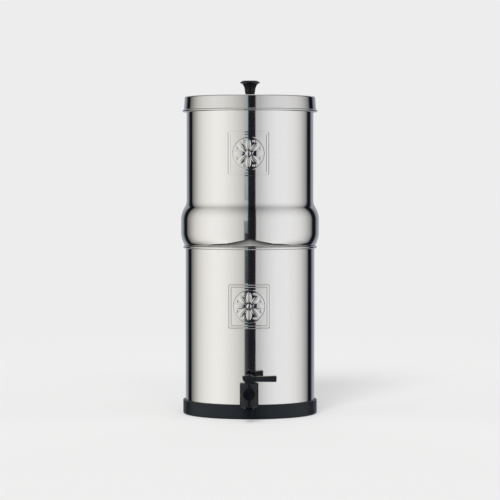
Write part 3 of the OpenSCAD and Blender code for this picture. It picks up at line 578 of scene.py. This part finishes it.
def upperVessel():
    s = upperSizes
    outer, outerMeet = upperLine(0, 24)
    inner, innerMeet = upperLine(s["wall"], 12)
    beadZ = s["top"] - s["bead"]
    start = math.degrees(math.atan2(outerMeet - beadZ, s["radius"] - s["beadX"]))
    end = math.degrees(math.atan2(innerMeet - beadZ, s["radius"] - s["wall"] - s["beadX"])) + 360
    outline = outer + arcPoints(s["beadX"], beadZ, s["bead"], start, end, 24) + inner[::-1]
    piece = turned("upperVessel", outline, s["steps"])
    spots = [(x * s["holeAt"], y * s["holeAt"]) for x, y in ((-1, 0), (1, 0), (0, -1), (0, 1))]
    carve(piece, [drill(s["hole"] / 2, s["floor"] - 4, s["floor"] + 4, at=spot) for spot in spots])
    dress(piece, steelSheet, "upper_vessel", "polished_steel", "upper_chamber")
    finishInside(piece, beadZ)


upperVessel()
print("upper vessel made")


# Pressed panels on the vessels' fronts

panelSizes = {
    "halfWidth": 32.5, "halfHeight": 33.5, "corner": 2.6, "margin": 2.0, "wall": 0.45, "proud": 0.035,
    "grid": 168, "lower": (-0.6, 174.2), "upper": (-1.6, 409.5),  # where each panel's middle sits
    "frameLine": (0, 2.3, 0.6), "innerLine": (3.9, 1.6, 0.4),  # distance from the edge, width, height
    "ring": (25.2, 1.6, 0.24),  # radius, width, height
    "petals": 8, "petalAt": 13.5, "petalLength": 8.2, "petalWidth": 3.9, "petal": 0.55,
    "vein": (1.4, 0.45),  # width, and its depth as a share of the petal's height
    "seed": (20.3, 1.7, 0.4),  # distance from the middle, radius, height
    "hub": (3.6, 0.5),  # radius, height
}


def ridge(offset, width):
    share = min(1, abs(offset) / (width / 2))
    return 0.5 + 0.5 * math.cos(math.pi * share)


def panelRelief(u, v, framed):
    # how far the pressing stands out at u across and v up from the panel's middle
    s = panelSizes
    corner = s["corner"]
    sideX, sideY = abs(u) - s["halfWidth"] + corner, abs(v) - s["halfHeight"] + corner
    away = math.hypot(max(sideX, 0), max(sideY, 0)) + min(max(sideX, sideY), 0) - corner
    height = 0
    for at, width, rise in (s["frameLine"], s["innerLine"]):
        height += framed * rise * ridge(away + at, width)
    reach, turn = math.hypot(u, v), math.atan2(u, v)
    at, width, rise = s["ring"]
    height += rise * ridge(reach - at, width)
    step = math.tau / s["petals"]
    offAngle = (turn + step / 2) % step - step / 2
    alongPetal, acrossPetal = reach * math.cos(offAngle) - s["petalAt"], reach * math.sin(offAngle)
    inside = 1 - (alongPetal / s["petalLength"]) ** 2 - (acrossPetal / s["petalWidth"]) ** 2
    if inside > 0:
        width, sunk = s["vein"]
        height += s["petal"] * inside ** 0.7 * (1 - sunk * ridge(acrossPetal, width))
    offGap = (turn % step) - step / 2
    at, radius, rise = s["seed"]
    seed = math.hypot(reach * math.cos(offGap) - at, reach * math.sin(offGap))
    height += rise * math.sqrt(max(0, 1 - (seed / radius) ** 2))
    radius, rise = s["hub"]
    return height + rise * max(0, 1 - (reach / radius) ** 2) ** 0.6


def pressedPanel(name, radius, centre, body, framed):
    s = panelSizes
    wide, tall = s["halfWidth"] + s["margin"], s["halfHeight"] + s["margin"]
    bm = bmesh.new()
    bmesh.ops.create_grid(bm, x_segments=s["grid"], y_segments=s["grid"], size=1)
    for vert in bm.verts:
        u, v = vert.co.x * wide, vert.co.y * tall
        out = radius + s["proud"] + panelRelief(u, v, framed)
        turn = (u + centre[0]) / radius
        vert.co = Vector((out * math.sin(turn), -out * math.cos(turn), centre[1] + v)) / 1000
    bmesh.ops.recalc_face_normals(bm, faces=bm.faces)
    if sum(face.normal.y for face in bm.faces) > 0:
        bmesh.ops.reverse_faces(bm, faces=bm.faces)
    bmesh.ops.solidify(bm, geom=bm.faces[:], thickness=s["wall"] / 1000)
    dress(asObject(name, bm), steelSheet, body, "polished_steel", crease=50)


pressedPanel("lowerPanel", lowerSizes["radius"], panelSizes["lower"], "lower_vessel", 1.0)
pressedPanel("upperPanel", upperSizes["radius"], panelSizes["upper"], "upper_vessel", 0.6)
print("pressed panels made")


# Lid and knob

lidSizes = {"radius": 103.0, "top": 499.966, "wall": 0.8, "corner": 2.5, "beadX": 104.55,
            "beadZ": 477.516, "bead": 1.95, "hole": 2.7, "steps": 256,
            "meet": (104.086, 479.41), "meetInside": (103.3, 479.01), "beadTurn": (103.8, -230.1)}


def lidPan():
    s = lidSizes
    r, t, c, top = s["radius"], s["wall"], s["corner"], s["top"]
    outer = [(s["hole"], top)] + between((s["hole"], top), (r - c, top), 16, 1.0)
    outer += arcPoints(r - c, top - c, c, 90, 0, 14)
    outer += between((r, top - c), s["meet"], 6)
    outer += arcPoints(s["beadX"], s["beadZ"], s["bead"], *s["beadTurn"], 26)
    inner = between(s["meetInside"], (r - t, top - c), 8)
    inner += arcPoints(r - c, top - c, c - t, 0, 90, 8)
    inner += between((r - c, top - t), (s["hole"], top - t), 30, 1.0) + [(s["hole"], top - t)]
    piece = turned("lidPan", outer + inner, s["steps"], closed=True)
    # painted shade: the lid wears the darker copy of the wall steel
    dress(piece, steelLidShaded, "lid", "polished_steel", "lid")


knobSizes = {"base": 499.966, "height": 25.0, "width": 31.4, "foot": 12.8, "neck": 16.4, "top": 24.0,
             "spread": 13.2, "edge": 1.3, "bevel": 2.5, "bore": 5.2, "boreDepth": 15.0}


def knob():
    s = knobSizes
    base, topZ = s["base"], s["base"] + s["height"]
    edgeZ = topZ - s["bevel"] - s["edge"]
    spreadZ = edgeZ - s["spread"]
    spreadW = (s["width"] - s["neck"]) / 2
    outline = [(s["bore"] / 2, base), (s["foot"] / 2 - 0.4, base), (s["foot"] / 2, base + 0.4)]
    for i in range(21):
        a = math.radians(90 * i / 20)
        outline.append((s["width"] / 2 - spreadW * math.cos(a), spreadZ + s["spread"] * math.sin(a)))
    outline += arcPoints(s["width"] / 2 - 0.6, edgeZ + s["edge"] - 0.55, 0.6, 0, 52, 5)
    outline += arcPoints(s["top"] / 2 - 0.4, topZ - 0.9, 0.9, 52, 90, 5)
    outline += between((s["top"] / 2 - 0.4, topZ), (0, topZ), 4, 0.5)
    outline += [(0, topZ), (0, base + s["boreDepth"]), (s["bore"] / 2, base + s["boreDepth"])]
    dress(turned("knob", outline, 96, closed=True), knobPlastic, "lid", "knob_plastic", "lid_knob")


hardwareSizes = {"washer": 16.0, "washerHole": 5.4, "washerTop": 499.166, "washerT": 1.2, "screw": 5.0,
                 "screwTop": 513.966, "head": 9.5, "headT": 3.0, "keyDepth": 1.5}


def knobHardware():
    s = hardwareSizes
    top, low = s["washerTop"], s["washerTop"] - s["washerT"]
    outline = bevelled(s["washer"] / 2, low, top, 0.3, 0.3, s["washerHole"] / 2)
    washer = turned("knobWasher", outline, 48, closed=True)
    dress(washer, steelWire, "lid", "steel_hardware", "knob_washer")
    base, head, r = low - s["headT"], s["head"] / 2, s["screw"] / 2
    outline = [(0, base), (head - 0.6, base), (head, base + 0.6), (head, low - 0.2), (head - 0.2, low)]
    outline += [(r, low), (r, s["screwTop"] - 0.6), (r - 0.6, s["screwTop"]), (0, s["screwTop"])]
    screw = turned("knobScrew", outline, 48)
    carve(screw, [drill(head / 2, base - 1, base + s["keyDepth"], 6)])
    dress(screw, steelWire, "lid", "steel_hardware", "knob_screw")


lidPan()
knob()
knobHardware()
print("lid and knob made")


# Filter candles, plugs and their fixings

candleSizes = {"seat": 250.366, "width": 51.0, "height": 166.0, "wall": 8.0, "dome": 20.0, "cup": 2.0,
               "glue": 0.3, "cupDepth": 7.0, "cupFloor": 4.0, "stem": 12.0, "bore": 6.0, "stemLength": 34.0,
               "pitch": 2.5, "thread": 0.9}
sealSizes = {"outer": 26.0, "inner": 12.4, "thick": 2.5, "bottom": 243.866}
nutSizes = {"hub": 20.0, "height": 10.0, "wing": 13.0, "reach": 20.0, "thick": 3.0, "hex": 23.0,
            "hexHeight": 8.0, "hole": 12.4}
plugSizes = {"head": 25.0, "height": 5.0, "round": 2.5, "stemLength": 16.0}


def threadLine(top, width, length):
    # the right side of a threaded rod from its top down, one groove per turn
    pitch, root = candleSizes["pitch"], width / 2 - candleSizes["thread"]
    line = []
    for i in range(int(length / pitch) - 1):
        line += [(width / 2, top - pitch * (i + 0.5)), (root, top - pitch * (i + 1))]
    last = top - pitch * (int(length / pitch) - 0.5)
    return line + [(width / 2, last), (width / 2, top - length + candleSizes["thread"]), (root, top - length)]


def candle(side, x):
    s, floor = candleSizes, upperSizes["floor"]
    z, r, d, t = s["seat"], s["width"] / 2, s["dome"], s["wall"]
    top = z + s["height"]
    shell = [(0, top), (r - d - 1, top)] + arcPoints(r - d, top - d, d, 90, 0, 16)
    shell += between((r, top - d), (r, z), 16) + [(r, z), (r - t, z)]
    shell += arcPoints(r - d, top - d, d - t, 0, 90, 10) + [(0, top - t)]
    dress(turned("candleShell" + side, shell, 96, at=(x, 0)), ceramic, "upper_vessel",
          "ceramic_shell", "candle_shell_" + side.lower())
    cupR = r + s["glue"]
    rim, base = z + s["cupDepth"], z - s["cupFloor"]
    body = [(s["bore"] / 2, z), (cupR, z), (cupR, rim), (cupR + 0.4, rim)]
    body += arcPoints(cupR + s["cup"] - 0.7, rim - 0.7, 0.7, 90, 0, 4)
    body += arcPoints(cupR + s["cup"] - 1.2, base + 1.2, 1.2, 0, -90, 6) + [(s["stem"] / 2, base)]
    body += threadLine(floor, s["stem"], s["stemLength"]) + [(s["bore"] / 2, floor - s["stemLength"])]
    piece = turned("candleBase" + side, body, 96, at=(x, 0), closed=True)
    dress(piece, whitePlastic, "upper_vessel", "white_plastic", "candle_base_" + side.lower(), crease=30)


def seal(name, x, y, node):
    s = sealSizes
    hole, r, low, top = s["inner"] / 2, s["outer"] / 2, s["bottom"], s["bottom"] + s["thick"]
    outline = [(hole, low), (r - 0.5, low)] + arcPoints(r - 0.7, low + 0.7, 0.7, -70, 0, 4)
    outline += arcPoints(r - 0.7, top - 0.7, 0.7, 0, 70, 4) + [(r - 0.5, top), (hole, top)]
    piece = turned(name, outline, 64, at=(x, y), closed=True)
    dress(piece, sealRubber, "upper_vessel", "seal_rubber", node)


def wingNut(side, x):
    s, top = nutSizes, upperSizes["floor"]
    low, r = top - s["height"], s["hub"] / 2
    hub = [(0, low), (r - 1.0, low), (r, low + 1.0), (r, top - 0.6), (r - 0.6, top), (0, top)]
    piece = turned("wingNut" + side, hub, 64, at=(x, 0))
    wings = []
    for way in (-1, 1):
        bm = bmesh.new()
        run = s["reach"] - s["wing"] / 2
        spot = Matrix.Translation(Vector((x + way * run / 2, 0, low + s["height"] / 2)) / 1000)
        blade = Matrix.Diagonal((run, s["thick"] - 0.3, s["height"] - 0.5, 1))
        bmesh.ops.create_cube(bm, size=0.001, matrix=spot @ blade)
        wings.append(asObject("wing", bm))
        half, tip = s["thick"] / 2, s["wing"] / 2
        disc = [(0, -half), (tip - 0.8, -half)] + arcPoints(tip - 0.8, -half + 0.8, 0.8, -90, 0, 4)
        disc += arcPoints(tip - 0.8, half - 0.8, 0.8, 0, 90, 4) + [(0, half)]
        across = alongY(0, low + s["height"] - tip - 1)
        wings.append(turned("wing", disc, 48, at=(x + way * run, 0), place=across))
    carve(piece, wings, "UNION")
    carve(piece, [drill(s["hole"] / 2, low - 9, top + 2, at=(x, 0))])
    dress(piece, whitePlastic, "upper_vessel", "white_plastic", "wing_nut_" + side.lower())


def plug(side, y):
    s, c, floor = plugSizes, candleSizes, upperSizes["floor"]
    low = sealSizes["bottom"] + sealSizes["thick"]
    r, top = s["head"] / 2, low + s["height"]
    soft = s["round"]
    outline = [(0, top), (r - soft - 1, top)] + arcPoints(r - soft, top - soft, soft, 90, 0, 8)
    outline += [(r, low + 0.4), (r - 0.4, low), (c["stem"] / 2, low)]
    outline += threadLine(floor, c["stem"], s["stemLength"]) + [(0, floor - s["stemLength"])]
    node = side.lower()
    dress(turned("blankingPlug" + side, outline, 64, at=(0, y)), whitePlastic, "upper_vessel",
          "white_plastic", "blanking_plug_" + node, crease=30)
    n = nutSizes
    low, top, r = floor - n["hexHeight"], floor, n["hex"] / 2
    nut = turned("plugNut" + side, bevelled(r, low, top, 1, 0.8), 6, at=(0, y))
    carve(nut, [drill(n["hole"] / 2, low - 2, top + 2, at=(0, y))])
    dress(nut, whitePlastic, "upper_vessel", "white_plastic", "plug_nut_" + node, crease=30, edge=0.3)


for side, place in (("Left", -50), ("Right", 50)):
    candle(side, place)
    seal("candleSeal" + side, place, 0, "candle_washer_" + side.lower())
    wingNut(side, place)
    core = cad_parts["carbon_core_" + side.lower()]
    core.data.materials.clear()
    core.data.materials.append(carbon)
for side, place in (("Front", -50), ("Back", 50)):
    plug(side, place)
    seal("plugSeal" + side, 0, place, "plug_washer_" + side.lower())
print("candles and plugs made")


# Tap

tapSizes = {"y": -150.0, "z": 42.7, "barrel": 14.35, "bottom": 24.0, "top": 53.7, "edge": 1.5, "bore": 11.0,
            "floor": 28.0, "seat": 29.5, "spout": 7.0, "spoutEnd": 7.0, "cone": 21.0, "outlet": 5.0,
            "joint": 0.25,  # the edges where barrel and bonnet meet, and the boss's edge
            "boss": 9.3, "bossZ": 44.1, "bossFace": -165.55, "shank": 8.0, "shankBore": 4.5,
            "shankEnd": -85.34, "plain": 3.4, "pitch": 1.5, "thread": 0.5,  # plain run, then thread
            "flange": 13.5, "flangeFrom": -108.65, "flangeTo": -104.65, "flangeEdge": 0.8,
            "washer": 13.5, "washerT": 1.6, "nut": 13.5, "nutFrom": -98.34, "nutTo": -90.34,
            "drum": (20, 66, 512)}  # heights and steps of the tool that trims the washers


def tapBody():
    s = tapSizes
    at = (0, s["y"])
    b, low, e, j, top = s["barrel"], s["bottom"], s["edge"], s["joint"], s["top"]
    barrel = [(0, s["spoutEnd"]), (s["spout"] - 0.6, s["spoutEnd"])]
    barrel += arcPoints(s["spout"] - 0.6, s["spoutEnd"] + 0.6, 0.6, -90, 0, 4)
    barrel += between((s["spout"], s["spoutEnd"] + 0.6), (s["spout"], s["cone"]), 5, 0.5)
    barrel += [(s["spout"], s["cone"])] + arcPoints(b - e, low + e, e, -90, 0, 10)
    barrel += between((b, low + e), (b, top - j), 6, 0.5) + [(b, top - j), (b - j, top), (0, top)]
    piece = turned("tapBody", barrel, 96, at=at)
    length, r = s["y"] - s["bossFace"], s["boss"]
    boss = [(0, 0), (r, 0), (r, length - j)] + arcPoints(r - j, length - j, j, 0, 90, 4)
    boss += [(r - 0.6, length), (r - 0.75, length - 0.2), (0, length - 0.2)]
    front = turned("boss", boss, 64, place=alongY(s["y"], s["bossZ"], -1))
    run = s["shankEnd"] - s["y"]
    threadFrom = s["flangeTo"] - s["y"] + s["plain"]
    shank = [(0, 0), (s["shank"], 0), (s["shank"], threadFrom)]
    while shank[-1][1] < run - s["pitch"] - 0.1:
        z = shank[-1][1]
        shank += [(s["shank"] - s["thread"], z + s["pitch"] / 2), (s["shank"], z + s["pitch"])]
    shank += [(s["shank"] - 0.6, run), (0, run)]
    back = turned("shank", shank, 64, place=alongY(s["y"], s["z"]))
    thick, r, e = s["flangeTo"] - s["flangeFrom"], s["flange"], s["flangeEdge"]
    disc = [(0, 0)] + arcPoints(r - e, e, e, -90, 0, 4) + arcPoints(r - e, thick - e, e, 0, 90, 4)
    flange = turned("flange", disc + [(0, thick)], 64, place=alongY(s["flangeFrom"], s["z"]))
    carve(piece, [front, back, flange], "UNION")
    chamber = [(0, s["seat"]), (s["spout"], s["seat"]), (s["spout"], s["floor"]), (s["bore"], s["floor"]),
               (s["bore"], top + 1), (0, top + 1)]
    carve(piece, [turned("chamber", chamber, 64, at), drill(s["outlet"], 0, 40, 64, at),
                  drill(s["shankBore"], 0, run + 1, place=alongY(s["y"], s["z"]))])
    dress(piece, tapPlastic, "lower_vessel", "tap_plastic", "tap_body", crease=30)
    # painted shade: the faces below the cone take the darker, duller spout copy
    piece.data.materials.append(spoutShadedPlastic)
    for face in piece.data.polygons:
        if face.center.z < s["cone"] / 1000:
            face.material_index = 1


bonnetSizes = {"top": 60.6, "bevel": 0.8, "cap": 3.0, "stemHole": 4.05, "sleeve": 10.9, "sleeveIn": 8.7,
               "sleeveEnd": 47.7}


def tapBonnet():
    s, t = bonnetSizes, tapSizes
    b, top, low, j, bevel = t["barrel"], s["top"], t["top"], t["joint"], s["bevel"]
    hole, under = s["stemHole"], s["top"] - s["cap"]
    outline = [(s["sleeve"], low), (b - j, low), (b, low + j)]
    outline += between((b, low + j), (b, top - bevel), 3, 0.4)
    outline += [(b, top - bevel), (b - bevel, top), (hole + 0.3, top), (hole, top - 0.3), (hole, under)]
    outline += [(s["sleeveIn"], under), (s["sleeveIn"], s["sleeveEnd"]), (s["sleeve"], s["sleeveEnd"])]
    piece = turned("tapBonnet", outline, 96, at=(0, t["y"]), closed=True)
    dress(piece, tapPlastic, "lower_vessel", "tap_plastic", "tap_bonnet", crease=30)


def tapFixings():
    t, wall = tapSizes, lowerSizes["radius"]
    inner = wall - lowerSizes["wall"]
    hole, r = t["shank"] + 0.2, t["washer"]
    # each washer starts flat, and a drum of the wall's own radius trims the face that lies on the wall
    blanks = [("outer", t["flangeTo"], -wall + lowerSizes["wall"], wall, "DIFFERENCE"),
              ("inner", -wall, -math.sqrt(inner ** 2 - r ** 2) + t["washerT"], inner, "INTERSECT")]
    for name, start, end, edge, operation in blanks:
        outline = [(hole, 0), (r, 0), (r, end - start), (hole, end - start)]
        piece = turned("tapWasher" + name.capitalize(), outline, 64, closed=True, place=alongY(start, t["z"]))
        carve(piece, [drill(edge, *t["drum"])], operation)
        dress(piece, sealRubber, "lower_vessel", "seal_rubber", f"tap_{name}_washer")
    thick, behind = t["nutTo"] - t["nutFrom"], alongY(t["nutFrom"], t["z"])
    nut = turned("tapNut", bevelled(t["nut"], 0, thick, 1.2, 1), 6, place=behind)
    carve(nut, [drill(hole, -2, thick + 2, place=behind)])
    dress(nut, tapPlastic, "lower_vessel", "tap_plastic", "tap_nut", crease=30, edge=0.3)


valveSizes = {"stem": 4.0, "pinZ": 66.6, "flange": 7.5, "flangeZ": 35.05, "flangeT": 2.0, "nose": 2.5,
              "noseL": 3.5, "cup": 8.75, "cupZ": 29.55, "cupH": 5.5, "thrust": 8.2, "thrustIn": 4.05,
              "thrustZ": 56.05, "thrustT": 1.5, "pin": 1.5, "pinHalf": 7.5}


def valve():
    s, t = valveSizes, tapSizes
    at = (0, t["y"])
    z, top, r, nose, rod = s["flangeZ"], s["flangeZ"] + s["flangeT"], s["flange"], s["nose"], s["stem"]
    line = [(0, z - s["noseL"]), (nose, z - s["noseL"])] + bevelled(r, z, top, 0.3, 0.3, nose)[:-1]
    line += [(rod, top)] + between((rod, top), (rod, s["pinZ"]), 6, 0.5)
    line += arcPoints(0, s["pinZ"], rod, 0, 90, 10)
    stem = turned("tapStem", line, 64, at=at)
    across = alongY(t["y"] - s["pinHalf"] - 4, s["pinZ"])
    carve(stem, [drill(s["pin"], 0, 2 * s["pinHalf"] + 8, 32, place=across)])
    dress(stem, tapPlastic, "tap_stem", "tap_plastic", "tap_stem")
    low, top = s["cupZ"], s["cupZ"] + s["cupH"]
    cup = [(0, low), (s["cup"] - 0.6, low)] + arcPoints(s["cup"] - 0.6, low + 0.6, 0.6, -90, 0, 4)
    cup += [(s["cup"], top), (s["nose"], top), (s["nose"], top - s["noseL"]), (0, top - s["noseL"])]
    dress(turned("seatCup", cup, 64, at=at), seatSilicone, "tap_stem", "seat_silicone", "seat_cup")
    line = bevelled(s["pin"], 0, 2 * s["pinHalf"], 0.3, 0.3)
    pin = turned("leverPin", line, 32, place=alongY(t["y"] - s["pinHalf"], s["pinZ"]))
    dress(pin, steelWire, "tap_stem", "steel_hardware", "lever_pin")
    low, top = s["thrustZ"], s["thrustZ"] + s["thrustT"]
    line = [(s["thrustIn"], low), (s["thrust"], low), (s["thrust"], top), (s["thrustIn"], top)]
    washer = turned("thrustWasher", line, 48, at=at, closed=True)
    dress(washer, whitePlastic, "tap_swivel", "white_plastic", "thrust_washer")


springSizes = {"radius": 5.8, "wire": 1.2, "turns": 6, "bottom": 37.1, "top": 56.0, "steps": 28}


def tapSpring():
    # round wire wound by spins that rise by the pitch, with one closed turn at each end
    s, y = springSizes, tapSizes["y"] / 1000
    wire, length = s["wire"], s["top"] - s["bottom"]
    bm = bmesh.new()
    start = Matrix.Translation((s["radius"] / 1000, y, (s["bottom"] + wire / 2) / 1000))
    upright = start @ Matrix.Rotation(math.pi / 2, 4, "X")
    bmesh.ops.create_circle(bm, cap_ends=False, radius=wire / 2000, segments=12, matrix=upright)
    section = bm.verts[:] + bm.edges[:]
    for turns, rise in ((1, wire), (s["turns"] - 2, (length - 3 * wire) / (s["turns"] - 2)), (1, wire)):
        wound = bmesh.ops.spin(bm, geom=section, cent=(0, y, 0), axis=(0, 0, 1), angle=math.tau * turns,
                               dvec=(0, 0, rise / s["steps"] / 1000), steps=s["steps"] * turns)
        section = wound["geom_last"]
    bmesh.ops.holes_fill(bm, edges=[edge for edge in bm.edges if edge.is_boundary], sides=0)
    bmesh.ops.recalc_face_normals(bm, faces=bm.faces)
    coil = asObject("tapSpring", bm)
    dress(coil, steelWire, "tap_swivel", "steel_hardware", "tap_spring", crease=50)
    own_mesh(coil)


leverSizes = {"hub": 6.6, "hubWidth": 15.0, "slot": 4.3, "rootX": 5.3, "below": 4.2, "above": 3.2,
              "tipAbove": 4.6, "length": 41.8, "tip": 2.0, "rootWidth": 9.0, "tipWidth": 12.5,
              "heelStart": 5.7, "lift": 4.5, "land": 1.0, "pinHole": 1.55}


def prism(name, outline, depth, matrix):
    # a flat outline of (x, y) points pushed up by depth, then put in place
    bm = bmesh.new()
    face = bm.faces.new([bm.verts.new(Vector((x, y, 0)) / 1000) for x, y in outline])
    pushed = bmesh.ops.extrude_face_region(bm, geom=[face])
    raised = [g for g in pushed["geom"] if isinstance(g, bmesh.types.BMVert)]
    bmesh.ops.translate(bm, verts=raised, vec=(0, 0, depth / 1000))
    bmesh.ops.recalc_face_normals(bm, faces=bm.faces)
    bmesh.ops.transform(bm, matrix=matrix, verts=bm.verts)
    return asObject(name, bm)


def lever():
    s, t = leverSizes, tapSizes
    pinZ = valveSizes["pinZ"]
    rate, slope = s["lift"] / 90, s["lift"] / 90 * 180 / math.pi
    # the heel lifts the stem by the same amount for each degree that the lever turns
    heel = []
    for i in range(12, -1, -1):
        a = 90 * i / 12
        p, rad = s["heelStart"] + rate * a, math.radians(a)
        heel.append((-p * math.sin(rad) - slope * math.cos(rad), -p * math.cos(rad) + slope * math.sin(rad)))
    tip, end = s["tip"], s["length"] - s["tip"]
    side = [(s["rootX"], -s["below"])] + arcPoints(end, tip - s["below"], tip, -90, 0, 5)
    side += arcPoints(end, s["tipAbove"] - tip, tip, 0, 90, 5)
    side += arcPoints(0, 0, s["hub"], math.degrees(math.asin(s["above"] / s["hub"])), 140, 16)
    side += [(-s["heelStart"] - s["lift"], slope + s["land"])] + heel + [(s["rootX"], -s["heelStart"])]
    width = s["hubWidth"]
    piece = prism("tapLever", side, width, alongY(t["y"] + width / 2, pinZ, -1))
    reach, half = s["heelStart"] + s["lift"] + 2, s["tipWidth"] / 2 - tip
    plan = [(-reach, -width), (s["hub"], -width), (s["hub"], -s["rootWidth"] / 2)]
    plan += arcPoints(end, -half, tip, -90, 0, 5) + arcPoints(end, half, tip, 0, 90, 5)
    plan += [(s["hub"], s["rootWidth"] / 2), (s["hub"], width), (-reach, width)]
    flat = Matrix.Translation(Vector((0, t["y"], pinZ - 14)) / 1000)
    carve(piece, [prism("plan", plan, 28, flat)], "INTERSECT")
    deep, slot = 2 * (s["heelStart"] + s["lift"]), s["slot"]
    bm = bmesh.new()
    middle = Matrix.Translation(Vector(((slot - deep) / 2, t["y"], pinZ + (slot - deep) / 2)) / 1000)
    size = Matrix.Diagonal((deep + slot, 2 * slot, deep + slot, 1))
    bmesh.ops.create_cube(bm, size=0.001, matrix=middle @ size)
    across = alongY(t["y"] - width / 2 - 2, pinZ)
    carve(piece, [asObject("slot", bm), drill(s["pinHole"], 0, width + 4, 32, place=across)])
    dress(piece, leverPlastic, "tap_lever", "tap_plastic", "tap_lever", crease=32, edge=0.35)


tapBody()
tapBonnet()
tapFixings()
valve()
tapSpring()
lever()
print("tap made")
